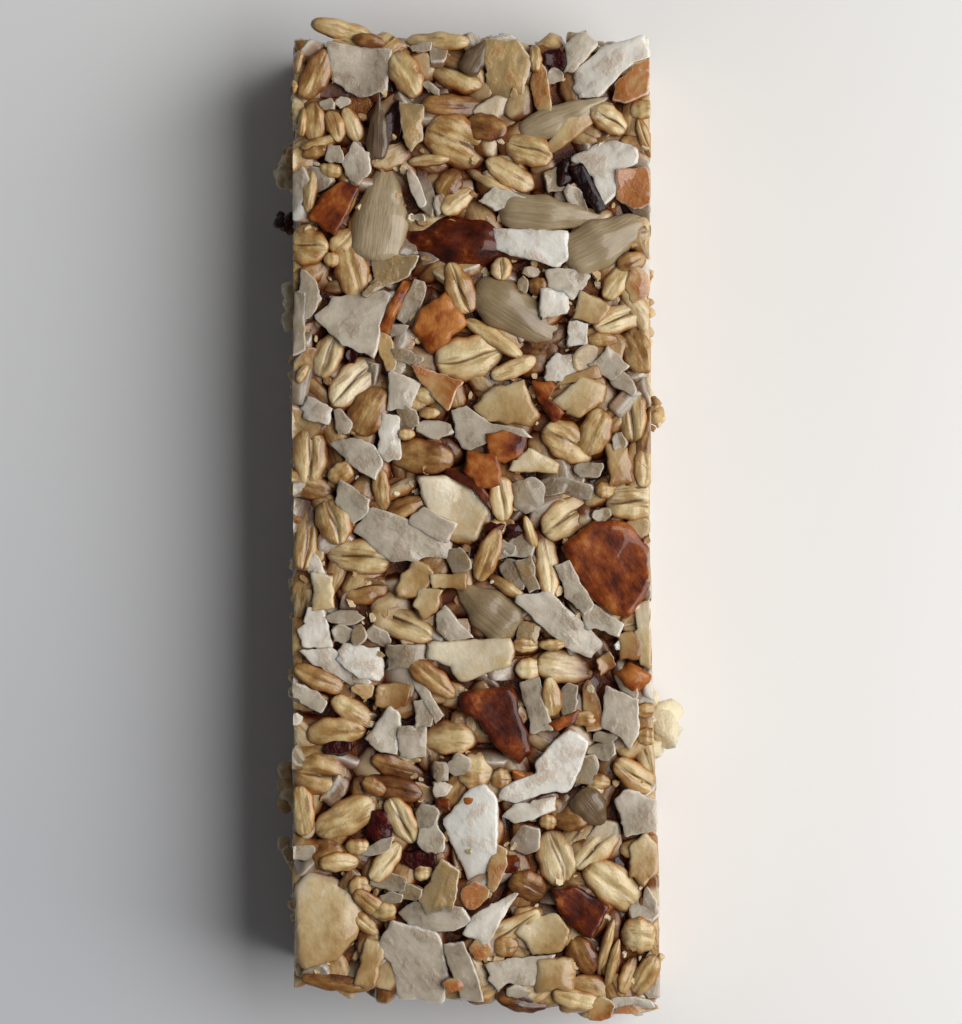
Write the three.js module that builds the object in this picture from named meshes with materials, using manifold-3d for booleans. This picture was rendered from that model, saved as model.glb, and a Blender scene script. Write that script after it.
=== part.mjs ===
// A granola bar: rolled oats, coconut and syrup pressed flat in a tray and cut into a bar with straight
// long sides. The pressed mass is one solid. The large pieces set in it are solids of their own: chopped
// almonds, cut nut halves, sunflower kernels, coconut chips and the crumbs that cling to the flanks.
// Millimetres, +Z up. The origin is the middle of the flat base, +Y runs along the bar and +X across it.
import * as THREE from "three";
import { mergeVertices } from "three/addons/utils/BufferGeometryUtils.js";
import Module from "manifold-3d";

// ---- Driving dimensions -------------------------------------------------------------------------------
const LENGTH = 96; // along Y, between the two broken ends
const WIDTH = 36; // across X, between the two knife cuts
const HEIGHT = 17; // from the tray to the plane that the press leaves
const GAP = 0.3; // clearance round each embedded piece

const MASS_TOP = 16.9; // the tops of the oats between the large pieces
const GRAIN_PITCH = 5.2; // spacing of the oat lumps in the relief
const GRID_STEP = 3.6; // spacing of the relief's vertices
const TOP_RELIEF = 0.8; // how deep the hollows between oats are on top
const CUT_RELIEF = 0.4; // and on the knife-cut sides
const END_RELIEF = 1.3; // and on the broken ends
const END_SKEW = 3.2; // the near end runs this much further out at +X than at -X
const FOOT_BULGE = 0.8; // the +X side swells by this much towards the near end

const CHIP_THICKNESS = 1;
const SLICE_SHARE = 0.42; // height of a cut nut half over its width
const KERNEL_SHARE = 0.5; // height of a sunflower kernel over its width
const KERNEL_SEGMENTS = 8;
const NUT_SEGMENTS = 10;
const NUT_RINGS = 6;
const CRUMB_SEGMENTS = 8;
const CRUMB_RINGS = 6;
const LARGEST_TILT = 5; // degrees that a flat piece leans from the pressed plane
const FINEST_DETAIL = 0.08; // facets that stand out by less than this are merged

// ---- Where the large pieces lie -----------------------------------------------------------------------
// Each row starts with x, y and turn, the direction of the piece's long axis in degrees from +X.
// depth is how far its highest point lies under the pressed plane.

// Chopped almonds, skin up: x, y, turn, length, width, height, depth, and the chops that squared it off,
// each as [direction of the broken face in the almond's own axes, its distance from the middle].
const ALMONDS = [
  [-13.9, 31.1, 40, 6.8, 5.6, 3.8, 0.1, [[0, 2.6], [175, 2.7], [-95, 2.3], [85, 2.4]]],
  [-1.8, 27.9, -2, 10.4, 5.2, 4.2, 0.1, []],
  [-3.6, 19.9, -35, 6.6, 6.4, 4.2, 0.1, [[-55, 2.3], [60, 2.4], [150, 2.5]]],
  [7.6, 11.8, -62, 5.6, 2.6, 3.0, 0.9, []],
  [2.6, 6.6, 28, 7.2, 4.8, 3.6, 0.1, [[-20, 2.9], [100, 2.0]]],
  [13.4, -4.9, 95, 10.6, 10.4, 5.2, 0.0, [[-90, 4.5], [-40, 4.6], [60, 4.2], [100, 3.9]]],
  [2.8, -20.4, -58, 9.6, 7.4, 5.0, 0.1, [[10, 4.2], [75, 3.0], [-100, 2.9]]],
  [16.1, -15.8, -40, 4.6, 3.0, 3.0, 0.2, [[10, 1.9]]],
  [10.7, -39.3, -38, 7.4, 5.6, 4.0, 0.4, [[5, 3.1], [-80, 2.4]]],
  [12.6, -29.0, -68, 4.4, 3.8, 3.2, 0.2, [[0, 1.8], [180, 1.8]]],
];

// Nuts cut through, pale face up: x, y, turn, length, width, depth, chops.
const NUT_SLICES = [
  [-14.5, -40.5, 78, 11.0, 7.4, 0.0, [[90, 3.4]]],
  [-2.0, 1.2, -44, 8.8, 4.8, 0.0, []],
  [3.5, 11.6, -8, 7.6, 4.2, 0.1, [[-90, 1.7], [10, 3.4]]],
  [10.9, 12.2, 22, 6.2, 4.6, 0.0, [[75, 1.9], [-20, 2.6]]],
  [16.2, 43.7, 62, 5.0, 3.8, 0.0, []],
  [6.2, 5.7, -22, 5.2, 3.2, 0.1, [[-68, 1.1]]],
  [7.6, -41.6, 4, 5.0, 4.2, 0.1, []],
];

// Sunflower kernels: x, y, turn towards the tip, length, width, depth.
const KERNELS = [
  [-9.0, 32.0, 83, 11.6, 5.2, 0.0],
  [7.6, 30.6, -4, 11.0, 4.2, 0.1],
  [13.9, 28.0, 27, 10.4, 4.8, 0.0],
  [5.5, 20.0, -29, 12.2, 5.0, 0.0],
  [1.2, -8.8, 143, 9.0, 5.2, 0.0],
  [-5.2, 6.3, -6, 6.4, 3.2, 0.1],
];

// Coconut chips: x, y, turn, length, and the width at the head, the middle and the foot, then depth.
const CHIPS = [
  [-11.3, 44.9, 88, 5.4, 6.4, 5.4, 4.6, 0.0],
  [3.4, 45.2, 94, 6.4, 3.2, 4.4, 3.6, 0.0],
  [13.2, 45.2, 38, 9.0, 3.6, 4.4, 3.2, 0.0],
  [-6.2, 39.4, 100, 5.2, 3.0, 2.4, 1.2, 0.1],
  [12.7, 34.8, 97, 6.6, 5.4, 3.6, 1.6, 0.0],
  [5.8, 27.6, 0, 7.8, 3.8, 2.9, 1.9, 0.0],
  [-7.9, 24.9, 22, 5.8, 2.4, 3.6, 2.0, 0.2],
  [9.7, 23.8, -5, 5.2, 1.8, 2.9, 1.8, 0.1],
  [-11.6, 19.6, -6, 7.6, 6.6, 4.0, 0.8, 0.0],
  [-16.8, 20.6, 92, 8.4, 1.4, 2.0, 1.6, 0.1],
  [9.0, 15.4, 10, 4.4, 1.8, 3.2, 2.6, 0.1],
  [-6.9, 12.7, -12, 3.6, 1.9, 3.0, 3.2, 0.0],
  [-8.6, 8.3, 64, 5.4, 1.4, 1.9, 1.6, 0.0],
  [-11.9, 5.8, -70, 5.0, 1.2, 2.6, 4.6, 0.3],
  [-6.9, -1.6, -22, 9.8, 1.8, 4.0, 3.6, 0.0],
  [-12.3, 2.3, 128, 4.2, 1.4, 3.0, 2.6, 0.4],
  [-15.8, -10.7, 96, 4.2, 1.7, 2.2, 3.2, 0.0],
  [-12.2, -14.4, -16, 7.8, 3.6, 4.0, 2.0, 0.2],
  [0.1, -14.3, 8, 8.4, 2.6, 3.4, 2.4, 0.0],
  [8.9, -10.4, -38, 9.8, 2.4, 2.9, 2.6, 0.0],
  [10.1, -6.8, -58, 5.4, 1.8, 1.9, 1.5, 0.2],
  [14.8, -19.7, 88, 5.0, 3.4, 3.5, 3.2, 0.0],
  [12.0, -18.8, 94, 5.2, 1.5, 1.6, 1.2, 0.1],
  [7.4, -24.9, 36, 10.2, 2.4, 3.8, 2.2, 0.0],
  [-9.0, -20.9, 68, 4.6, 1.5, 3.0, 2.4, 0.1],
  [0.2, -31.4, 97, 10.4, 1.4, 5.2, 1.2, 0.0],
  [16.5, -29.7, 84, 5.0, 2.4, 3.8, 3.2, 0.1],
  [-3.2, -39.8, -8, 7.4, 1.6, 2.5, 1.4, 0.5],
  [2.2, -39.4, 44, 7.4, 0.8, 2.6, 3.4, 0.1],
  [-5.8, -44.2, 99, 7.8, 3.8, 6.4, 4.2, 0.0],
  [4.6, -45.2, 6, 6.4, 1.6, 2.8, 1.8, 0.0],
];

// Coconut chips toasted brown, in the same terms.
const TOASTED_CHIPS = [[-3.5, 13.4, -68, 4.2, 1.0, 3.0, 4.8, 0.1]];

// Crumbs on the flanks: x, y and z of the middle, then the size along X, Y and Z.
const CRUMBS = [
  [-18.6, 36.6, 6.0, 6.4, 7.6, 6.0],
  [-18.3, -28.0, 5.4, 5.8, 8.4, 5.6],
  [18.9, -21.6, 5.2, 6.6, 8.8, 6.0],
];

// ---- Solids -------------------------------------------------------------------------------------------
const wasm = await Module();
wasm.setup();

// A closed three.js geometry as a solid that can be cut.
function solidOf(geometry) {
  const bare = geometry.clone();
  bare.deleteAttribute("normal");
  bare.deleteAttribute("uv");
  const merged = mergeVertices(bare, 1e-4);
  return new wasm.Manifold(
    new wasm.Mesh({
      numProp: 3,
      vertProperties: merged.attributes.position.array,
      triVerts: new Uint32Array(merged.index.array),
    }),
  );
}

function geometryOf(solid) {
  const mesh = solid.getMesh();
  const geometry = new THREE.BufferGeometry();
  geometry.setAttribute("position", new THREE.BufferAttribute(mesh.vertProperties, 3));
  geometry.setIndex(new THREE.BufferAttribute(mesh.triVerts, 1));
  return geometry;
}

// The largest of the bodies that the cuts leave.
function largest(solid) {
  return solid.decompose().reduce((a, b) => (b.volume() > a.volume() ? b : a));
}

// A repeatable number from 0 to 1 for any set of whole numbers.
function chance(...seeds) {
  const mixed = seeds.reduce((sum, seed, i) => sum + seed * (127.1 + 184.6 * i), 0);
  const wave = Math.sin(mixed) * 43758.5453;
  return wave - Math.floor(wave);
}

// ---- The pressed mass ---------------------------------------------------------------------------------
// Distance from a point to the nearest oat, over the pitch: each cell of a lattice holds one oat.
function nearestGrain(point) {
  const cell = point.clone().divideScalar(GRAIN_PITCH).floor();
  let nearest = Infinity;
  for (let i = -1; i <= 1; i++)
    for (let j = -1; j <= 1; j++)
      for (let k = -1; k <= 1; k++) {
        const [a, b, c] = [cell.x + i, cell.y + j, cell.z + k];
        const grain = new THREE.Vector3(a + chance(a, b, c), b + chance(b, c, a), c + chance(c, a, b));
        nearest = Math.min(nearest, grain.multiplyScalar(GRAIN_PITCH).distanceTo(point));
      }
  return nearest / GRAIN_PITCH;
}

// A block with its faces dented between the oats. Dents go inwards only, so that the press and the knife
// leave their planes, and the base is as flat as the tray.
function pressedMass() {
  const block = new THREE.BoxGeometry(
    WIDTH,
    LENGTH,
    MASS_TOP,
    Math.round(WIDTH / GRID_STEP),
    Math.round(LENGTH / GRID_STEP),
    Math.round(MASS_TOP / GRID_STEP),
  ).translate(0, 0, MASS_TOP / 2);
  const positions = block.attributes.position;
  const point = new THREE.Vector3();
  for (let i = 0; i < positions.count; i++) {
    point.fromBufferAttribute(positions, i);
    const dent = Math.min(1, nearestGrain(point));
    const across = point.x / (WIDTH / 2);
    const along = point.y / (LENGTH / 2);
    const up = point.z / MASS_TOP;
    if (up > 0.999) point.z -= TOP_RELIEF * dent;
    if (Math.abs(across) > 0.999) point.x -= CUT_RELIEF * dent * across;
    if (Math.abs(along) > 0.999) point.y -= END_RELIEF * dent * along;
    const near = THREE.MathUtils.smoothstep(-along, 0, 1);
    point.y -= END_SKEW * (across / 2) * near;
    if (across > 0) point.x += FOOT_BULGE * across * near;
    positions.setXYZ(i, point.x, point.y, point.z);
  }
  return solidOf(block);
}

// ---- The large pieces, each about its own middle with its long axis along X ----------------------------
// Part of an ellipsoid, cut by upright planes where the nut broke.
function choppedNut(length, width, height, chops, segments, rings) {
  const nut = new THREE.SphereGeometry(0.5, segments, rings).scale(length, height, width);
  return chops.reduce((solid, [direction, distance]) => {
    const angle = THREE.MathUtils.degToRad(direction);
    return solid.trimByPlane([-Math.cos(angle), -Math.sin(angle), 0], -distance);
  }, solidOf(nut.rotateX(Math.PI / 2)));
}

function almond(grow, [length, width, height, chops]) {
  const moved = chops.map(([direction, distance]) => [direction, distance + grow]);
  const sizes = [length, width, height].map((size) => size + 2 * grow);
  return choppedNut(...sizes, moved, NUT_SEGMENTS, NUT_RINGS);
}

// The upper half is cut away level, which leaves the pale face.
function nutSlice(grow, [length, width, chops]) {
  const height = width * SLICE_SHARE;
  const whole = almond(grow, [length, width, 2 * height, chops]);
  return whole.trimByPlane([0, 0, -1], -grow).translate([0, 0, height / 2]);
}

// A teardrop turned about its long axis and then flattened: blunt at the foot, pointed at the tip.
function kernel(grow, [length, width]) {
  const steps = KERNEL_SEGMENTS;
  const profile = Array.from({ length: steps + 1 }, (_, i) => {
    const along = i / steps;
    const swell = Math.sin(Math.PI * along ** 0.72) ** 0.8 * (1 - 0.25 * along);
    const radius = i === 0 || i === steps ? 0 : (swell * (width + 2 * grow)) / 2;
    return new THREE.Vector2(radius, (along - 0.5) * (length + 2 * grow));
  });
  const drop = new THREE.LatheGeometry(profile, KERNEL_SEGMENTS).rotateZ(-Math.PI / 2);
  return solidOf(drop.scale(1, 1, KERNEL_SHARE + grow / width));
}

// A flat flake with six corners, snapped off straight at both ends.
function chip(grow, [length, head, middle, foot]) {
  const [x, thickness] = [length / 2 + grow, CHIP_THICKNESS + 2 * grow];
  const [h, m, f] = [head, middle, foot].map((size) => size / 2 + grow);
  const corners = [[x, -h], [x, h], [0, m], [-x, f], [-x, -f], [0, -m]];
  const outline = new THREE.Shape(corners.map(([u, v]) => new THREE.Vector2(u, v)));
  const flake = new THREE.ExtrudeGeometry(outline, { depth: thickness, bevelEnabled: false });
  return solidOf(flake.translate(0, 0, -thickness / 2));
}

function crumb(grow, [across, along, up]) {
  const [x, y, z] = [across, along, up].map((size) => size + 2 * grow);
  return choppedNut(x, y, z, [], CRUMB_SEGMENTS, CRUMB_RINGS);
}

// ---- Setting the pieces into the mass ----------------------------------------------------------------
// Trims a solid to the block that the press and the knife leave.
function cutSquare(solid) {
  const side = WIDTH / 2 + FOOT_BULGE / 2;
  return solid
    .trimByPlane([-1, 0, 0], -side)
    .trimByPlane([1, 0, 0], -WIDTH / 2)
    .trimByPlane([0, 0, -1], -HEIGHT);
}

// Two solids for one piece in its place: the piece, and the same grown by the gap, which is its pocket.
// The tilt is small and differs from piece to piece.
function setFlush(make, x, y, turn, depth, sizes, leans = true) {
  const [tiltX, tiltY] = [chance(x * 10, y * 10), chance(y * 10, x * 10)].map((share) =>
    leans ? (share - 0.5) * 2 * LARGEST_TILT : 0,
  );
  const top = make(0, sizes).rotate([tiltX, tiltY, 0]).boundingBox().max[2];
  const lift = HEIGHT - depth - top;
  const [piece, pocket] = [0, GAP].map((grow) =>
    make(grow, sizes).rotate([tiltX, tiltY, 0]).rotate([0, 0, turn]).translate([x, y, lift]),
  );
  return { piece: cutSquare(piece), pocket };
}

const embedded = [];
function embed(name, colour, roughness, placed) {
  embedded.push({ name, colour, roughness, ...placed });
}

const number = (i) => String(i + 1).padStart(2, "0");
ALMONDS.forEach(([x, y, turn, length, width, height, depth, chops], i) => {
  const placed = setFlush(almond, x, y, turn, depth, [length, width, height, chops]);
  embed(`almond_${number(i)}`, 0x8a3f1c, 0.45, placed);
});
KERNELS.forEach(([x, y, turn, length, width, depth], i) => {
  embed(`kernel_${number(i)}`, 0xb5a583, 0.5, setFlush(kernel, x, y, turn, depth, [length, width]));
});
NUT_SLICES.forEach(([x, y, turn, length, width, depth, chops], i) => {
  const placed = setFlush(nutSlice, x, y, turn, depth, [length, width, chops], false);
  embed(`nut_slice_${number(i)}`, 0xd9c48f, 0.4, placed);
});
CHIPS.forEach(([x, y, turn, length, head, middle, foot, depth], i) => {
  const placed = setFlush(chip, x, y, turn, depth, [length, head, middle, foot]);
  embed(`chip_${number(i)}`, 0xd8d5cf, 0.55, placed);
});
TOASTED_CHIPS.forEach(([x, y, turn, length, head, middle, foot, depth], i) => {
  const placed = setFlush(chip, x, y, turn, depth, [length, head, middle, foot]);
  embed(`toasted_chip_${number(i)}`, 0xc58b4e, 0.5, placed);
});
CRUMBS.forEach(([x, y, z, ...sizes], i) => {
  const [piece, pocket] = [0, GAP].map((grow) => crumb(grow, sizes).translate([x, y, z]));
  embed(`flank_crumb_${number(i)}`, 0xcdb98a, 0.6, { piece, pocket });
});

// Each piece gives way to the pieces set before it, and the mass gives way to them all.
embedded.forEach((later, i) => {
  later.piece = embedded.slice(0, i).reduce((solid, { pocket }) => solid.subtract(pocket), later.piece);
});
const mass = embedded.reduce((solid, { pocket }) => solid.subtract(pocket), pressedMass());

const bar = new THREE.Group();
function addNode(name, solid, color, roughness) {
  const material = new THREE.MeshStandardMaterial({ color, roughness, metalness: 0 });
  const mesh = new THREE.Mesh(geometryOf(largest(solid.simplify(FINEST_DETAIL))), material);
  mesh.name = name;
  bar.add(mesh);
}
addNode("oat_mass", mass, 0xc9ab76, 0.5);
embedded.forEach(({ name, piece, colour, roughness }) => addNode(name, piece, colour, roughness));

export default bar;
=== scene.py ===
import bpy
import numpy as np
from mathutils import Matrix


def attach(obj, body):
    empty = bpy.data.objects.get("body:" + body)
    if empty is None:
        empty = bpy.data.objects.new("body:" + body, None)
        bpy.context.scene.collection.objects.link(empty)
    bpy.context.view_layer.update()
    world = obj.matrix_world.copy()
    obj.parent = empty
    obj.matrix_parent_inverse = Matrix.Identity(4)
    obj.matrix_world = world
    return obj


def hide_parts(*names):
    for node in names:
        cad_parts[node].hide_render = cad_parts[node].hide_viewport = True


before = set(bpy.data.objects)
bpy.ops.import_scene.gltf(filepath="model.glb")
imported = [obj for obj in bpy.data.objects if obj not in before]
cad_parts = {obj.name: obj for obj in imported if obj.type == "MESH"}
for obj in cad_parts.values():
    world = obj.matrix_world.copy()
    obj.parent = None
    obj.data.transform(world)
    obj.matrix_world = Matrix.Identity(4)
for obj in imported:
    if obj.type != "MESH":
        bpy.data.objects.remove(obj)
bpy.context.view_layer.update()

# ---- Camera -------------------------------------------------------------------------------------------
# A camera held level straight over the bar, 300 mm above the pressed top, with the far end at the top of
# the frame. The frame is 102.4 mm tall at the height of the pressed top.
MM = 0.001
TOP = 17.0
EYE = 300.0
FRAME_TALL = 102.4
view = bpy.data.cameras.new("camera")
view.sensor_width = 36.0
view.lens = view.sensor_width * EYE / FRAME_TALL
view.clip_start = 0.01
view.clip_end = 20.0
camera = bpy.data.objects.new("camera", view)
camera.location = (0.9 * MM, 0.7 * MM, (TOP + EYE) * MM)
bpy.context.scene.collection.objects.link(camera)
bpy.context.scene.camera = camera


# ---- Tabletop -----------------------------------------------------------------------------------------
# A plain pale satin tabletop, one flat sheet under the bar. Its colour holds painted light falloff: painted
# shade makes the side away from the window darker and cooler towards the near end, and the window side is
# painted brighter towards the near end. It isn't part of the object.
def srgb(red, green, blue):
    """A colour given as 0 to 255 display values, in linear light: ((c + 0.055) / 1.055) ** 2.4."""
    return (*(((np.array([red, green, blue]) / 255 + 0.055) / 1.055) ** 2.4), 1.0)


class Wire:
    """A shader value. Sums and products of values add Math nodes."""

    def __init__(self, tree, socket=None):
        self.tree = tree
        self.socket = socket

    def node(self, kind, settings, inputs, output=0):
        """Adds a node: its settings first, then its sockets, each a constant or another Wire."""
        made = self.tree.nodes.new("ShaderNode" + kind)
        for key, value in settings.items():
            setattr(made, key, value)
        for key, value in inputs.items():
            if isinstance(value, Wire):
                self.tree.links.new(value.socket, made.inputs[key])
            else:
                made.inputs[key].default_value = value
        return Wire(self.tree, made.outputs[output])

    def math(self, operation, a, b):
        return self.node("Math", {"operation": operation}, {0: a, 1: b})

    def __add__(self, other):
        return self.math("ADD", self, other)

    def __radd__(self, other):
        return self.math("ADD", other, self)

    def __sub__(self, other):
        return self.math("SUBTRACT", self, other)

    def __rsub__(self, other):
        return self.math("SUBTRACT", other, self)

    def __mul__(self, other):
        return self.math("MULTIPLY", self, other)

    def __rmul__(self, other):
        return self.math("MULTIPLY", other, self)

    def step(self, low, high):
        """0 below low and 1 above high, with a smooth rise between."""
        settings = {"interpolation_type": "SMOOTHSTEP"}
        return self.node("MapRange", settings, {"Value": self, "From Min": low, "From Max": high})

    def over(self, base, colour):
        """base where this is 0 and colour where it is 1."""
        settings = {"data_type": "RGBA", "clamp_factor": True}
        return self.node("Mix", settings, {0: self, 6: base, 7: colour}, 2)

    def ramp(self, *stops):
        """A colour that passes through each (place, colour) in turn."""
        made = self.node("ValToRGB", {}, {0: self})
        elements = made.socket.node.color_ramp.elements
        while len(elements) < len(stops):
            elements.new(0.5)
        for element, (place, colour) in zip(elements, stops):
            element.position = place
            element.color = colour
        return made

    def stain(self, base, colour):
        """base times colour, as far as this says."""
        settings = {"data_type": "RGBA", "blend_type": "MULTIPLY", "clamp_factor": True}
        return self.node("Mix", settings, {0: self, 6: base, 7: colour}, 2)

    def noise(self, stretch, scale, detail=3.0, roughness=0.55):
        """Cloudy noise from 0 to 1 on this vector, which is first multiplied by stretch."""
        scaled = self.node("VectorMath", {"operation": "MULTIPLY"}, {0: self, 1: stretch})
        inputs = {"Vector": scaled, "Scale": scale, "Detail": detail, "Roughness": roughness}
        return self.node("TexNoise", {}, inputs)

    def bump(self, distance):
        """Surface relief with this as its height, in metres for a height of 1."""
        return self.node("Bump", {}, {"Height": self, "Distance": distance, "Strength": 1.0})


def new_material(name):
    """A material with its principled shader, and a Wire that adds nodes to it."""
    material = bpy.data.materials.new(name)
    material.use_nodes = True
    shader = material.node_tree.nodes["Principled BSDF"]
    return material, shader, Wire(material.node_tree)


def dress(shader, **looks):
    """Sets the principled shader's sockets, each to a constant or to a Wire."""
    for name, value in looks.items():
        socket = shader.inputs[name.replace("_", " ")]
        if isinstance(value, Wire):
            value.tree.links.new(value.socket, socket)
        else:
            socket.default_value = value


HALF_TABLE = 1.6
JUST_BELOW = -0.00002
floor_mesh = bpy.data.meshes.new("floor")
corners = np.array([[-1, -1], [1, -1], [1, 1], [-1, 1]]) * HALF_TABLE
floor_mesh.from_pydata([(x, y, JUST_BELOW) for x, y in corners], [], [(0, 1, 2, 3)])
floor = bpy.data.objects.new("floor", floor_mesh)
bpy.context.scene.collection.objects.link(floor)
material, shader, wire = new_material("pale_tabletop")
place = wire.node("TexCoord", {}, {}, 3)
across = wire.node("SeparateXYZ", {}, {0: place}, 0)
along = wire.node("SeparateXYZ", {}, {0: place}, 1)
# Painted light falloff: the left half is painted darker towards the near end, the right half brighter.
left = along.step(-0.06, 0.06).over(srgb(232, 234, 239), srgb(250, 251, 252))
right = along.step(-0.06, 0.06).over(srgb(255, 254, 253), srgb(247, 246, 244))
colour = across.step(-0.05, 0.03).over(left, right)
dress(shader, Base_Color=colour, Roughness=0.5, Specular_IOR_Level=0.3)
floor_mesh.materials.append(material)

# ---- Light --------------------------------------------------------------------------------------------
# One wide window to the right and a little beyond the far end, low enough that the bar's shadow falls on
# the left, with the dim cool light of the room all round.
sun = bpy.data.lights.new("window", "AREA")
sun.shape = "RECTANGLE"
sun.size = sun.size_y = 0.38
sun.energy = 1.7
sun.color = (1.0, 0.99, 0.97)
window = bpy.data.objects.new("window", sun)
window.location = (0.26, 0.02, 0.27)
window.rotation_euler = (0.0, np.radians(44.0), np.radians(4.4))
bpy.context.scene.collection.objects.link(window)
world = bpy.data.worlds.new("room")
bpy.context.scene.world = world
world.use_nodes = True
room_light = world.node_tree.nodes["Background"].inputs
room_light["Color"].default_value = (0.92, 0.95, 1.0, 1.0)
room_light["Strength"].default_value = 0.07
bpy.context.scene.view_settings.view_transform = "Standard"


# ---- Syrup --------------------------------------------------------------------------------------------
# The cooked sugar syrup that binds the bar: dark amber and glassy, it fills the bar between the pieces
# and sinks into hollows on every side. One closed lumpy block, a little smaller than the bar.
HALF_WIDTH, HALF_LENGTH = 18.0, 48.0
SKEW, SWELL = 1.6, 0.8


def column(values):
    """One value for each piece, down the first of three axes."""
    return np.array(values, dtype=float).reshape(-1, 1, 1)


def ease(share):
    """A smooth rise from 0 to 1: three times the square, less twice the cube."""
    return share * share * (3 - 2 * share)


def waves(points, size, seed, count=14):
    """Smooth random lumps between about -1 and 1: a sum of sine waves that run in random directions."""
    random = np.random.default_rng(seed)
    direction = random.normal(size=(count, 3))
    direction *= (2 * np.pi / size) / np.linalg.norm(direction, axis=1, keepdims=True)
    phase = random.uniform(0, 2 * np.pi, count)
    return np.sin(points @ direction.T + phase).sum(-1) * (1.6 / count)


def outline(corners, sides):
    """Points round polygons, as seen along even turns of an ellipse of each one's length and width.

    A ray from the middle in direction d meets the edge from p to p + e at the distance
    cross(p, e) / cross(d, e)."""
    def cross(a, b):
        return (np.conj(a) * b).imag

    half_length = np.abs(corners.real).max(1)[:, None]
    half_width = np.abs(corners.imag).max(1)[:, None]
    turn = np.linspace(0, 2 * np.pi, sides, endpoint=False)[None, :]
    ray = half_length * np.cos(turn) + 1j * half_width * np.sin(turn)
    start = corners[:, :, None]
    edge = np.roll(corners, -1, axis=1)[:, :, None] - start
    aim = ray[:, None, :]
    slant = cross(aim, edge)
    slant = np.where(np.abs(slant) < 1e-9, 1e-9, slant)
    along = cross(start, aim) / slant
    reach = cross(start, edge) / slant
    hits = np.where((along > -1e-6) & (along < 1 + 1e-6) & (reach > 0), reach, 0.0).max(1)
    return ray * hits


def slabs(corners, thickness, dome, cup, ragged, rows, sides, seed):
    """Closed flat pieces: an outline swept from the middle of the top, over the rim and under.

    rows is pairs of (share of the outline, height from 1 on top to -1 below). A dome adds
    dome * (1 - share squared) to the top half, and a cup bends the piece by cup * (x / half length)
    squared. ragged is how far, in mm, the rim wanders in and out."""
    edge = outline(corners, sides)
    share = np.array([row[0] for row in rows])[None, :, None]
    height = np.array([row[1] for row in rows])[None, :, None]
    spread = edge[:, None, :] * share
    lift = column(thickness) / 2 * height + 0 * spread.real
    lift = lift + column(dome) * (1 - share**2) * (height > 0)
    points = np.stack([spread.real, spread.imag, lift], -1).reshape(len(corners), -1, 3)
    nothing = 0 * lift[:, 0, 0]
    first = np.stack([nothing, nothing, lift[:, 0, 0]], -1)
    last = np.stack([nothing, nothing, lift[:, -1, 0]], -1)
    points = np.concatenate([first[:, None], points, last[:, None]], axis=1)
    random = np.random.default_rng(seed)
    shift = points + random.uniform(-90, 90, (len(corners), 1, 3))
    half = np.abs(edge.real).max(1)[:, None]
    points[..., 2] += np.array(cup, dtype=float)[:, None] * (points[..., 0] / half) ** 2
    points[..., 2] += 0.13 * waves(shift, 3.6, seed) + 0.045 * waves(shift, 1.3, seed + 1)
    away = points[..., :2] / (np.linalg.norm(points[..., :2], axis=-1, keepdims=True) + 1e-6)
    part = np.concatenate([[0.0], np.repeat(share[0, :, 0], sides), [0.0]])
    wander = waves(shift, 3.4, seed + 4) + waves(shift, 1.5, seed + 2) + 0.6 * waves(shift, 0.6, seed + 3)
    points[..., :2] += away * (np.array(ragged, dtype=float)[:, None] * wander * part)[..., None]
    shore = height - 0.5 * share**7
    level = np.concatenate([[1.0], np.repeat(shore[0, :, 0], sides), [-1.0]])
    return points, np.broadcast_to(level, points.shape[:2])


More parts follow.
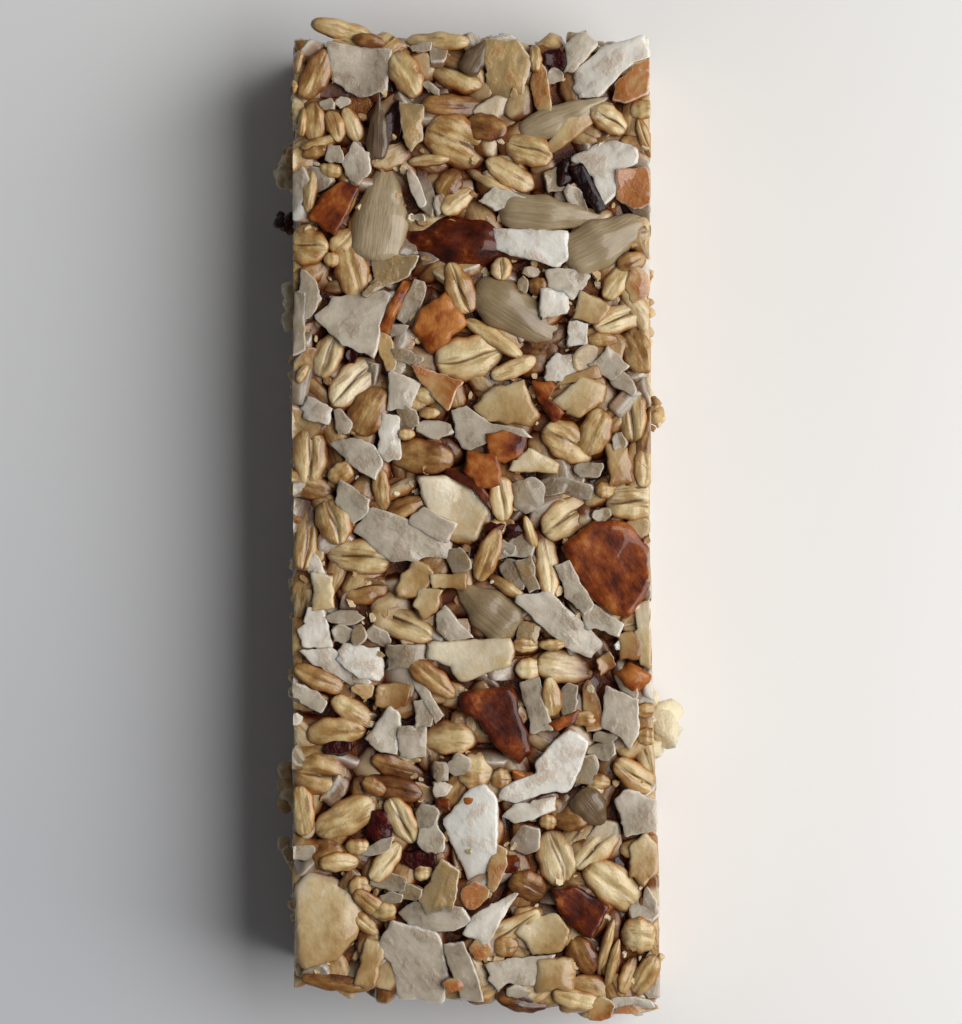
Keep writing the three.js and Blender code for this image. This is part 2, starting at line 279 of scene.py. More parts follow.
def build(name, points, rings, sides, marks, smooth=True):
    """One mesh of many closed pieces, each a grid of rings between two poles, in millimetres.

    marks is a dict of attributes, one value for each point, and "sunk" joins them: how deep the point
    lies under the nearest face of the bar. Each piece has its own square of the map."""
    count, each = points.shape[:2]
    ring = np.arange(rings)[:, None]
    side = np.arange(sides)[None, :]
    after = (side + 1) % sides
    at = lambda i, j: 1 + i * sides + j
    low = ring[:-1]
    quads = np.stack([at(low, side), at(low + 1, side), at(low + 1, after), at(low, after)], -1)
    quads = quads.reshape(-1, 4)
    top = np.stack([0 * side[0], at(0, side[0]), at(0, after[0])], -1)
    end = rings - 1
    bottom = np.stack([at(end, side[0]), 0 * side[0] + each - 1, at(end, after[0])], -1)
    start = np.arange(count)[:, None, None] * each
    loops = np.concatenate(
        [(quads[None] + start).ravel(), (top[None] + start).ravel(), (bottom[None] + start).ravel()]
    )
    quad_total = count * len(quads)
    starts = np.concatenate(
        [np.arange(quad_total) * 4, quad_total * 4 + np.arange(2 * count * sides) * 3]
    )
    mesh = bpy.data.meshes.new(name)
    mesh.vertices.add(count * each)
    mesh.vertices.foreach_set("co", (points * MM).ravel())
    mesh.loops.add(len(loops))
    mesh.loops.foreach_set("vertex_index", loops)
    mesh.polygons.add(len(starts))
    mesh.polygons.foreach_set("loop_start", starts)
    mesh.polygons.foreach_set("use_smooth", np.full(len(starts), smooth))
    mesh.update(calc_edges=True)
    # The map: each piece's grid laid flat in a square of its own.
    u = np.stack([side + 0 * low, side + 0 * low, side + 1 + 0 * low, side + 1 + 0 * low], -1) / sides
    v = np.stack([low + 1, low + 2, low + 2, low + 1], -1) + 0 * u[..., :1]
    fan = np.stack([side[0] + 0.5, side[0], side[0] + 1], -1) / sides
    fan_end = np.stack([side[0], side[0] + 0.5, side[0] + 1], -1) / sides
    tall = rings + 1
    flat = [
        (u.reshape(-1), (v / tall).reshape(-1)),
        (fan.reshape(-1), np.tile([0, 1 / tall, 1 / tall], sides)),
        (fan_end.reshape(-1), np.tile([rings / tall, 1.0, rings / tall], sides)),
    ]
    cells = int(np.ceil(np.sqrt(count)))
    cell = np.arange(count)
    parts = []
    for across, along in flat:
        x = (cell % cells)[:, None] + 0.05 + 0.9 * across[None, :]
        y = (cell // cells)[:, None] + 0.05 + 0.9 * along[None, :]
        parts.append((np.stack([x, y], -1) / cells).reshape(-1, 2))
    layer = mesh.uv_layers.new(name="OFBake")
    layer.data.foreach_set("uv", np.concatenate(parts).ravel())
    x, y, z = points[..., 0], points[..., 1], points[..., 2]
    near = HALF_LENGTH - 0.3 + y + SKEW * x / HALF_WIDTH
    depths = [HALF_WIDTH + 0.2 - np.abs(x), HALF_LENGTH + 0.2 - y, near, TOP - z, z]
    marks = {**marks, "sunk": np.clip(np.min(depths, axis=0), 0, 4)}
    for key, values in marks.items():
        kind = "FLOAT_VECTOR" if values.ndim == 3 else "FLOAT"
        attribute = mesh.attributes.new(key, kind, "POINT")
        values = np.broadcast_to(values, points.shape[: values.ndim]).astype(np.float32)
        attribute.data.foreach_set("vector" if kind == "FLOAT_VECTOR" else "value", values.ravel())
    made = bpy.data.objects.new(name, mesh)
    bpy.context.scene.collection.objects.link(made)
    return made


def skewed(points):
    """The bar's outline: the near end runs further out on the right, and the right side swells there."""
    near = ease(np.clip(-points[..., 1] / HALF_LENGTH, 0, 1))
    across = points[..., 0] / HALF_WIDTH
    out = points.copy()
    out[..., 1] -= SKEW * across * near
    out[..., 0] += SWELL * np.clip(across, 0, None) * near
    return out


def finish_piece(made, material, slot, *nodes):
    """Gives a piece its material and body, and hides the solids that it stands for. slot is not used."""
    made.data.materials.append(material)
    if nodes:
        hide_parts(*nodes)
    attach(made, "root")


def marks_of(tint, level, cut, local, **more):
    """The marks that a material reads: a tint for each piece, and for each point how far up the rim it is,
    how much of a cut it is on and its own coordinates, and whatever more names."""
    return {"tint": tint + 0 * cut, "rim": level, "cut": cut, "local": local, **more}


def read(name, output=2):
    """A mark of the mesh in the material being made: output 2 gives a number and output 1 a vector."""
    return wire.node("Attribute", {"attribute_name": name}, {}, output)


CORE_X, CORE_Y, CORE_TOP = 17.3, 46.3, 15.2
CORE_SIDES = 260
OFF_TABLE = 0.12
block = np.array([[-CORE_X, CORE_X, CORE_X, -CORE_X]]) * 1j - np.array([[-CORE_Y, -CORE_Y, CORE_Y, CORE_Y]])
rows = [(s, 1.0) for s in np.linspace(0.04, 0.99, 34)]
rows += [(1.0, h) for h in np.linspace(0.97, -0.97, 14)] + [(s, -1.0) for s in np.linspace(0.99, 0.1, 10)]
points, _ = slabs(block, [CORE_TOP - 0.7], [0.0], [0.0], [0.0], rows, CORE_SIDES, 3)
points = np.stack([points[..., 1], -points[..., 0], points[..., 2]], -1)
points[..., 2] += 0.5 * CORE_TOP + 0.35
lumps = 0.3 * waves(points, 5.5, 11) + 0.25 * waves(points, 2.6, 12)
outward = points - np.clip(points, [-15.5, -45.5, 1.6], [15.5, 45.5, CORE_TOP - 1.2])
outward /= np.linalg.norm(outward, axis=-1, keepdims=True) + 1e-6
walls = np.clip(np.maximum(np.abs(points[..., 0]) - 16.9, np.abs(points[..., 1]) - 45.9) / 0.3, 0, 1)
points = skewed(points + outward * lumps[..., None])
points[..., 0] = np.clip(points[..., 0], -17.7, 18.6)
points[..., 2] = np.clip(points[..., 2], OFF_TABLE, None)
syrup = build("syrup", points, len(rows), CORE_SIDES, {"local": points, "cut": walls})
material, shader, wire = new_material("amber_syrup")
local, cut = read("local", 1), read("cut")
cloud = local.noise((1, 1, 1), 0.35).step(0.35, 0.68)
colour = cloud.ramp((0.0, srgb(56, 20, 3)), (0.4, srgb(102, 48, 10)), (1.0, srgb(156, 92, 30)))
grit = local.noise((1, 1, 1), 1.6, 5.0, 0.65)
colour = (cut * grit.step(0.42, 0.56)).over(colour, srgb(190, 142, 84))
dress(
    shader, Base_Color=colour, Roughness=0.16, Coat_Weight=0.6, Coat_Roughness=0.05,
    Normal=grit.bump(0.0004),
)
finish_piece(syrup, material, "oat_mass", "oat_mass")


# ---- Rolled oats --------------------------------------------------------------------------------------
# Whole oats, steamed and lightly rolled, so each is a plump flake: some keep the groat's lengthwise
# crease between two lobes, others show their smooth back or lie on edge. Syrup glazes them, and the
# knife leaves the ones at the long sides cut flat and floury.
def grains(length, width, thick, crease, blunt, rings, sides, seed, power=0.9):
    """Closed plump pieces along X. At a share a of the half length, from 1 at the tip to -1, the girth is
    sin(acos a) ** power, narrowed and sharpened towards the tip by blunt. The section is a flat oval that
    a groove of depth crease splits along the top."""
    random = np.random.default_rng(seed)
    turn = np.linspace(0, np.pi, rings + 2)[None, 1:-1, None]
    round_it = np.linspace(0, 2 * np.pi, sides, endpoint=False)[None, None, :]
    round_it = round_it + 0.3 * np.sin(2 * round_it)
    along = np.cos(turn)
    count = len(length)
    phase = random.uniform(0, 2 * np.pi, (4, count, 1, 1))
    girth = np.sin(turn) ** (power * (1 + 0.7 * column(blunt) * along)) * (1 - column(blunt) * along)
    wobble = 0.05 * np.sin(3 * np.pi * along + phase[0]) + 0.04 * np.sin(2 * round_it + phase[1])
    girth = girth * (1 + wobble)
    side = np.cos(round_it) + 0 * girth
    up = np.sign(np.sin(round_it)) * np.abs(np.sin(round_it)) ** 0.7 + 0 * girth
    course = 0.13 * np.sin(2.2 * along + phase[2]) + column(random.uniform(-0.12, 0.12, count))
    groove = np.exp(-(((side - course) / 0.13) ** 2)) * (np.sin(round_it) > 0) * np.abs(np.sin(round_it))
    lobes = 1 - column(crease) * groove * (0.35 + 0.65 * np.sin(turn))
    bend = column(random.uniform(-0.14, 0.1, count)) * along**2
    sway = column(random.uniform(-0.12, 0.12, count)) * along**2
    ridge = 0.035 * np.sin(7 * side + 1.5 * along + phase[2]) * girth * (up > 0)
    x = column(length) / 2 * (along + 0 * girth)
    y = column(width) / 2 * (girth * side + sway)
    z = column(thick) / 2 * (girth * up * lobes + bend + ridge)
    points = np.stack([x, y, z], -1).reshape(count, -1, 3)
    shift = points + random.uniform(-90, 90, (count, 1, 3))
    away = points / (np.linalg.norm(points, axis=-1, keepdims=True) + 0.3)
    points = points + away * (0.17 * waves(shift, 2.8, seed) + 0.08 * waves(shift, 1.2, seed + 1))[..., None]
    tips = []
    for end in (1, -1):
        middle = column(width)[:, 0] / 2 * (sway[:, 0] if end > 0 else sway[:, -1])
        drop = column(thick)[:, 0] / 2 * (bend[:, 0] if end > 0 else bend[:, -1])
        tips.append(np.stack([end * column(length)[:, 0] / 2, middle, drop], -1))
    points = np.concatenate([tips[0], points, tips[1]], axis=1)
    level = np.concatenate([[0.0], np.tile(np.sin(round_it[0, 0]), rings), [0.0]])
    seam = np.concatenate([[0.5], (groove * np.sin(turn) ** 0.5)[0].ravel(), [0.5]])
    seam = seam[None, :] * (np.array(crease, dtype=float)[:, None] > 0.2)
    return points, np.broadcast_to(level, points.shape[:2]), seam


RIGHT_CUT, LEFT_CUT, CUT_SWELL = 17.95, -18.05, 1.05
NEAR_CUT, FAR_CUT = -48.8, 48.9
PAST_CUT = 0.03


def set_in(points, x, y, turn, tilt, top=None, middle=None, ceiling=17.25, ends=False, seed=0):
    """Leans each piece by tilt, turns it about Z and moves it to x, y, with its top or its middle at a
    height. The press, the tray and the two knife cuts then flatten what reaches past them, and so do the
    rougher cuts at the ends. What lies past a cut is squeezed to 3% of its depth, never to nothing, so
    the front and the back of a piece stay apart.
    Returns the points, how much of a cut each one is on, and each piece's own coordinates."""
    def squeeze(values, low, high):
        kept = np.clip(values, low, high)
        return kept + PAST_CUT * (values - kept)

    random = np.random.default_rng(seed + 500)
    count = len(points)
    local = points + random.uniform(-60, 60, (count, 1, 3))
    a, b = np.radians(np.array(tilt, dtype=float)).T[:, :, None]
    px, py, pz = points[..., 0], points[..., 1], points[..., 2]
    py, pz = py * np.cos(a) - pz * np.sin(a), py * np.sin(a) + pz * np.cos(a)
    px, pz = px * np.cos(b) + pz * np.sin(b), -px * np.sin(b) + pz * np.cos(b)
    c = np.radians(np.array(turn, dtype=float))[:, None]
    px, py = px * np.cos(c) - py * np.sin(c), px * np.sin(c) + py * np.cos(c)
    if top is not None:
        pz = pz + (np.array(top, dtype=float) - pz.max(1))[:, None]
    else:
        pz = pz + np.array(middle, dtype=float)[:, None]
    px = px + np.array(x, dtype=float)[:, None]
    py = py + np.array(y, dtype=float)[:, None]
    inset = random.uniform(0.0, 0.22, (count, 1))
    near = np.clip(-(py + 2) / 46, 0, 1)
    right = RIGHT_CUT + CUT_SWELL * ease(near) - inset
    left = LEFT_CUT + inset
    cut = ((px > right) | (px < left)).astype(float)
    px = squeeze(px, left, right)
    if ends:
        torn = 0.7 * np.sin(0.6 * px + 0.3 * pz) + 0.4 * np.sin(1.5 * px - 0.5 * pz) + 3 * inset
        near, far = NEAR_CUT - SKEW * px / HALF_WIDTH + torn, FAR_CUT - torn
        cut = np.maximum(cut, (py > far) | (py < near))
        py = squeeze(py, near, far)
    over = np.clip(pz - (ceiling - 0.5), 0, None)
    pz = np.where(over > 0, ceiling - 0.5 + 0.5 * (1 - np.exp(-over / 0.5)), pz)
    pz = squeeze(pz, OFF_TABLE + inset * 0.4, np.inf)
    return np.stack([px, py, pz], -1), cut, local


# Each row is x, y, length, width, turn and shade, from 0 for cream to 1 for toasted brown.
CREASED = [
    (-1.7, 45, 6.4, 3.8, -25, .45), (-1.3, 37.8, 7, 4.8, -28, .42), (5.8, 37, 4.8, 3.4, -22, .3),
    (13.8, 40, 3.8, 2.6, -35, .3), (-16.4, 27.3, 4, 3.6, -10, .5), (-1.3, 23.2, 5.2, 2.6, 112, .45),
    (2.9, 25.1, 2.4, 2, 85, .4), (-14.4, 16.6, 4.9, 2.9, 65, .35), (-11.9, 13.8, 6.2, 3.4, 42, .12),
    (-.3, 16.1, 6.6, 4.4, 10, .38), (-16.3, 6.6, 6.2, 3.4, 88, .35), (9.7, 7.7, 5.6, 3.8, -32, .3),
    (16, 10.5, 5.6, 3, 91, .4), (15, 20.2, 5.8, 2.8, 18, .3), (3, 2, 4.4, 2.4, 95, .3),
    (9.4, .2, 5.6, 3.8, 28, .35), (15.8, 1.6, 4.6, 3.6, 0, .3), (-16.6, -2, 6.3, 2.4, 85, .55),
    (-13.8, -.3, 4.6, 3.6, 105, .4), (-11.4, -3.7, 6.2, 3.6, -8, .35), (-11, -7, 5.2, 3.4, 3, .55),
    (-7.2, -10.3, 7.4, 3.6, -28, .35), (-14.8, -25.8, 5.8, 4.4, -15, .4), (-7, -30.2, 5, 2.8, -62, .3),
    (12.5, -33, 5.8, 2.8, 45, .3), (8.5, -33.9, 5.4, 4, 105, .35), (16.4, -25.8, 5, 2.6, -35, .45),
    (4.3, -40.9, 5.8, 2.2, 30, .4),
]
SMOOTH = [
    (-6.6, 44.6, 4.9, 3.2, -62, .35), (-15.9, 39.9, 3.8, 2.4, 90, .5), (-12, 39.5, 3.7, 1.8, 115, .35),
    (-13.7, 39.4, 3.3, 1.8, 110, .4), (-15.6, 44.5, 5.2, 2.6, 65, .6), (1.5, 39.2, 4, 2.6, -10, .6),
    (-1.8, 41.4, 6.4, 2.4, -2, .6), (-2.3, 33.7, 3.2, 2.6, 60, .7), (-1.5, 31.8, 3.6, 2.2, 35, .4),
    (3.8, 34.6, 5.4, 2.4, -32, .3), (-12.9, 27.8, 3, 2.2, 50, .45), (-14.1, 26, 1.6, 1.5, 0, .5),
    (-12, 24.8, 5.2, 3.4, 100, .5), (17, 41, 2.5, 2, 0, .4), (17.3, 38.2, 4, 1.3, -70, .4),
    (16, 25.8, 3, 2, 20, .4), (14.5, 23.9, 4.2, 2.2, 58, .35), (6.6, 23.3, 2, 1.8, 0, .8),
    (13.1, 17.9, 3, 1.4, 0, .35), (16.6, 16.9, 5, 3.2, 110, .55), (-10.3, 10.9, 5.2, 3.6, 62, .6),
    (-4.5, 12.4, 2.4, 2, 0, .4), (-4.2, 10.6, 2, 1.1, 0, .4), (-13.2, 4.6, 2.6, 2.2, 30, .35),
    (-9.1, 2.9, 4.2, 1.8, 95, .35), (-5, 6.3, 6.3, 3.3, -6, .58), (-6.6, 8.5, 1.8, 1.2, 0, .4),
    (4.2, 15.1, 4.8, 1.8, 22, .35), (12.3, 8.6, 5, 3.2, 68, .35), (17.2, 5.3, 4, 2, 90, .3),
    (13.3, 2.9, 1.8, 1.6, 0, .4), (-6.7, 1.2, 3.8, 2, 25, .45), (1.6, -3.6, 5.4, 2.2, 68, .3),
    (2.5, -.8, 2.2, 1.8, 0, .4), (7.6, -4.9, 6.2, 2.2, 96, .12), (9.4, -14.9, 5.9, 3.4, -8, .25),
    (5.4, -12.6, 2.6, 1.6, 0, .35), (8, -12.6, 2.6, 1.2, 0, .4), (5.6, -15, 2.6, 2.2, 0, .3),
    (-15.4, -16, 5.4, 2.2, -25, .6), (-3.9, -16, 5.6, 2.2, -38, .35), (-12.1, -19.2, 4.4, 2.4, -32, .4),
    (-13.6, -21.3, 5.8, 3, 5, .38), (-2.3, -21.9, 5.2, 3.3, -2, .35), (8, -17.8, 4, 1.8, 95, .4),
    (11.4, -20, 3, 1.6, 0, .3), (17.4, -19.2, 2.2, 1.5, 0, .4), (17.5, -21.8, 2, 1.8, 0, .4),
    (-7.4, -25, 5.6, 2.2, -20, .62), (-8, -27, 6, 2.4, -12, .65), (-9.8, -26.8, 2.6, 1.8, -30, .6),
    (-17, -29.2, 5, 2.4, 95, .15), (-12.7, -30, 6.6, 3.6, 28, .32), (-8.6, -34.4, 4.6, 2.2, 52, .3),
    (-14.6, -33.6, 3.6, 3.4, 0, .62), (-13.3, -34.3, 3.8, 2, 0, .4), (-11.5, -32.8, 2.2, 1.5, 0, .4),
    (-4.8, -35.4, 1.8, 1.6, 0, .4), (-9.8, -38.8, 5, 2, -38, .35), (-8.9, -39.2, 2.6, 1.8, 0, .45),
    (-11.2, -36.8, 2.4, 2, 0, .4), (-10.7, -40.6, 3.4, 1.6, -45, .4), (.4, -25.3, 3.6, 3.4, 0, .25),
    (3, -26, 2, 2, 0, .3), (10, -30, 3.6, 2.8, 0, .55), (12.7, -26.4, 2.4, 1.8, 0, .4),
    (7.6, -30.4, 1.8, 1.5, 0, .4), (14.2, -36.7, 6.8, 3.7, -38, .3), (5.7, -36.9, 4, 3.2, -25, .6),
    (5.7, -39.5, 3, 1.4, 0, .45), (3.4, -42.8, 2.4, 2, 0, .4), (16.7, -41.7, 3.6, 3.6, 0, .3),
    (15.6, -45.8, 3.8, 1.6, 68, .45), (17.4, -45.8, 4.4, 2.2, 62, .35), (11, -43.8, 4, 3, -60, .7),
    (10.5, -48.2, 5, 2, -12, .4), (-13.7, -46.5, 7, 1.7, -8, .75), (5, -48.4, 5, 2.2, -12, .8),
]
ON_EDGE = [
    (-13, 49.1, 6.3, 1.9, -12, .45), (-10.3, 47.9, 3.2, 1.3, -10, .65), (-3.4, 47.9, 6.5, 1.7, -3, .4),
    (-17.4, 45.8, 2.5, .9, 80, .5), (-18, 43.3, 1.4, 1.3, 80, .5), (-15.4, 37.7, 3.7, 1, 18, .4),
    (-15.7, 36.8, 2.6, 1.3, 15, .45), (-14.2, 35, 2.5, 1.5, -8, .4), (-16.2, 33.3, 5.4, 1.5, 84, .35),
    (-17, 39.8, 2.9, .9, 85, .4), (-4.3, 36, 4, 1.2, 5, .3), (6.3, 46.2, 2.8, 1.3, 95, .35),
    (1.8, 33.8, 5.6, 1.2, -30, .3), (2.2, 18.1, 6.6, 1.7, -33, .35), (4, 13.2, 1.6, .6, 60, .3),
    (-17, 14.6, 2, 1, 60, .3), (5.8, -1.4, 3.6, 1.1, 108, .3), (3.4, -6.8, 4.4, 1.3, -32, .3),
    (13.4, -43, 6, 1.1, 76, .3), (14, -45, 6, 1.1, 77, .3),
]


def crumb_bed(seed):
    """Places for the pieces that show between and below the ones on top: jittered lattices close behind
    the two long sides, the two ends, the underside and the pressed top."""
    random = np.random.default_rng(seed)

    def lattice(across, along):
        lines = [np.linspace(-1, 1, count) * (1 - 1 / count) for count in (across, along)]
        return [axis.ravel() for axis in np.meshgrid(*lines, indexing="ij")]

    layers = []
    y, z = lattice(31, 6)
    for side in (-1, 1):
        layers.append(np.stack([side * 17.0 + 0 * y, y * 48.2, 8.2 + z * 8.6], -1))
    x, z = lattice(13, 7)
    for end in (-1, 1):
        layers.append(np.stack([x * 17.4, end * 46.7 + 0 * x, 8.2 + z * 8.6], -1))
    x, y = lattice(9, 26)
    layers.append(np.stack([x * 16.0, y * 46.5, 1.0 + 0 * x], -1))
    x, y = lattice(12, 31)
    layers.append(np.stack([x * 17.8, y * 47.6, 15.0 + 0 * x], -1))
    places = np.concatenate(layers)
    jitter = random.uniform(-1, 1, places.shape) * (0.8, 1.3, 1.0)
    jitter[:, 2] *= np.where(np.abs(places[:, 2] - 8) > 6.5, 0.35, 1.0)
    places = skewed(places + jitter)
    return places, random.permutation(len(places))


bed, order = crumb_bed(41)
oats_end, coconut_end = int(0.62 * len(bed)), int(0.9 * len(bed))
bed_oats, bed_coconut, bed_nuts = np.split(bed[order], [oats_end, coconut_end])


def towards_tips(points):
    """How near a tip each point of a grain is, from 0 at its middle to 1."""
    return np.abs(points[..., 0]) / np.abs(points[..., 0]).max(1, keepdims=True)


# Rings along each grain and sides round it, on the pressed top and in the bed.
OAT_GRID, BED_GRID = (20, 32), (9, 12)


def oats(name, rows, crease, share_thick, toasted, seed):
    """One mesh of oats that lie on the pressed top, each a little darker than its row by toasted."""
    random = np.random.default_rng(seed)
    x, y, length, width, turn, shade = np.array(rows).T
    count = len(rows)
    thick = np.clip(width * share_thick, 1.1, 2.3)
    blunt = random.uniform(-0.1, 0.14, count)
    points, level, seam = grains(
        length * 1.04, width * 1.06, thick, np.full(count, crease), blunt, *OAT_GRID, seed
    )
    tips = towards_tips(points)
    tilt = random.uniform(-12, 12, (count, 2))
    top = 17.12 - random.uniform(0.0, 0.6, count)
    points, cut, local = set_in(points, x, y, turn, tilt, top=top, seed=seed)
    tint = np.clip(shade + toasted + random.uniform(-0.14, 0.14, count), 0, 1)[:, None]
    return build(name, points, *OAT_GRID, marks_of(tint, level, cut, local, seam=seam, tips=tips))


oats_creased = oats("oats_creased", CREASED, 0.5, 0.48, -0.03, 61)
oats_smooth = oats("oats_smooth", SMOOTH, 0.14, 0.5, 0.06, 62)
oats_on_edge = oats("oats_on_edge", ON_EDGE, 0.0, 1.1, 0.02, 63)

random = np.random.default_rng(64)
count = len(bed_oats)
points, level, seam = grains(
    random.uniform(3.6, 7.2, count), random.uniform(2.4, 4.2, count), random.uniform(1.5, 2.6, count),
    random.choice([0.08, 0.4], count, p=[0.6, 0.4]), random.uniform(-0.1, 0.14, count),
    *BED_GRID, 64,
)
tips = towards_tips(points)
lean = np.where(np.abs(bed_oats[:, 2] - 8) > 5, 10, 26)[:, None]
tilt = random.normal(0, 1, (count, 2)) * lean
points, cut, local = set_in(
    points, *bed_oats[:, :2].T, random.uniform(0, 360, count), tilt, middle=bed_oats[:, 2],
    ceiling=16.35, ends=True, seed=64,
)
tint = np.clip(random.normal(0.42, 0.15, count), 0.1, 0.9)[:, None]
marks = marks_of(tint, level, cut, local, seam=seam, tips=tips)
oats_bed = build("oats_bed", points, *BED_GRID, marks)

# The syrup stain and painted shade darken the crumb from 0.4 mm to 1.7 mm under the nearest face, so the
# pieces deep in the gaps between the top pieces come out dark.
SHALLOW, DEEP = 0.4, 1.7
AMBER = srgb(212, 148, 76)
DEEP_AMBER_AND_SHADE = srgb(124, 62, 6)
material, shader, wire = new_material("glazed_oat")
local, tint, rim, seam, cut = read("local", 1), read("tint"), read("rim"), read("seam"), read("cut")
sunk, tips = read("sunk").step(SHALLOW, DEEP), read("tips")
fibres = local.noise((0.26, 1.7, 1.7), 1.0, 3.0, 0.5)
blotch = local.noise((0.5, 0.9, 0.9), 0.9)
shade = tint + 1.1 * (blotch - 0.5) + 0.2 * (fibres - 0.5)
flake = shade.ramp(
    (0.0, srgb(248, 230, 188)), (0.3, srgb(224, 196, 140)), (0.55, srgb(182, 139, 80)),
    (0.8, srgb(130, 79, 32)), (1.0, srgb(72, 34, 10)),
)
streaked = (0.5 * fibres.step(0.56, 0.66)).over(flake, srgb(150, 96, 44))
glazed = (1.0 - (rim + 0.5 * (fibres - 0.5)).step(0.1, 0.92)).stain(streaked, AMBER)
shadowed = (0.7 - 0.7 * (rim + 0.6 * (blotch - 0.5)).step(-0.3, 0.4)).over(glazed, srgb(96, 52, 20))
# Painted shade in the crease: the groove between the two lobes is darkened.
crease_shaded = (0.85 * seam.step(0.4, 0.95) * blotch.step(0.25, 0.5)).over(shadowed, srgb(84, 42, 16))
tipped = (0.7 * (tips + 0.3 * (blotch - 0.5)).step(0.84, 1.0)).over(crease_shaded, srgb(118, 64, 26))
# Cut faces are floury; painted shade with the syrup stain darkens what lies deep under the nearest face.
floury_and_sunk_shade = sunk.stain((0.6 * cut).over(tipped, srgb(214, 190, 142)), DEEP_AMBER_AND_SHADE)
grit = local.noise((1, 1, 1), 3.6)
relief = 0.6 * fibres + 0.5 * local.noise((1.2, 2.4, 2.4), 1.0, 3.0) + 0.3 * grit
dress(
    shader, Base_Color=floury_and_sunk_shade, Roughness=0.36, Coat_Roughness=0.07, Normal=relief.bump(0.00015),
    Coat_Weight=(blotch.step(0.4, 0.6) * 0.6 + 0.3) * (1.0 - 0.8 * sunk),
)
for made in (oats_creased, oats_smooth, oats_on_edge, oats_bed):
    finish_piece(made, material, "oat_mass")


# ---- Coconut ------------------------------------------------------------------------------------------
# Thin chips shaved from dried coconut, white to grey-violet, with straight snapped edges, a slight curl
# and a fibrous face. Small broken bits fill the spaces between them, and a few are toasted golden.
def shape_of(rows):
    """The middle, turn and own corners of drawn outlines. Each row is a shade, then the x and y of
    each corner in turn. The long axis is half the angle of the sum of the squared corners."""
    corners, middles, turns = [], [], []
    most = max(len(row) for row in rows) // 2
    for row in rows:
        points = np.array(row[1::2]) + 1j * np.array(row[2::2])
        after = np.roll(points, -1)
        area = (np.conj(points) * after).imag
        middle = ((points + after) * area).sum() / (3 * area.sum())
        points = points - middle
        turn = 0.5 * np.angle((points**2).sum())
        points = points * np.exp(-1j * turn)
        corners.append(np.concatenate([points, np.repeat(points[-1], most - len(points))]))
        middles.append(middle)
        turns.append(np.degrees(turn))
    middles = np.array(middles)
    return np.array(corners), middles.real, middles.imag, np.array(turns), np.array([row[0] for row in rows])


def shards(length, width, seed, corner_count=6):
    """Random outlines of straight-edged bits: corners at jittered turns on a rounded rectangle, whose
    radius in direction t is (|cos t| ** 5 + |sin t| ** 5) ** (-1 / 5)."""
    random = np.random.default_rng(seed)
    count = len(length)
    turn = (np.arange(corner_count)[None, :] + random.uniform(-0.36, 0.36, (count, corner_count)))
    turn = turn * 2 * np.pi / corner_count + random.uniform(0, 6.3, (count, 1))
    reach = (np.abs(np.cos(turn)) ** 5 + np.abs(np.sin(turn)) ** 5) ** -0.2
    reach = reach * random.uniform(0.82, 1.08, reach.shape)
    half_length = np.array(length)[:, None] / 2
    half_width = np.array(width)[:, None] / 2
    return reach * (np.cos(turn) * half_length + 1j * np.sin(turn) * half_width)


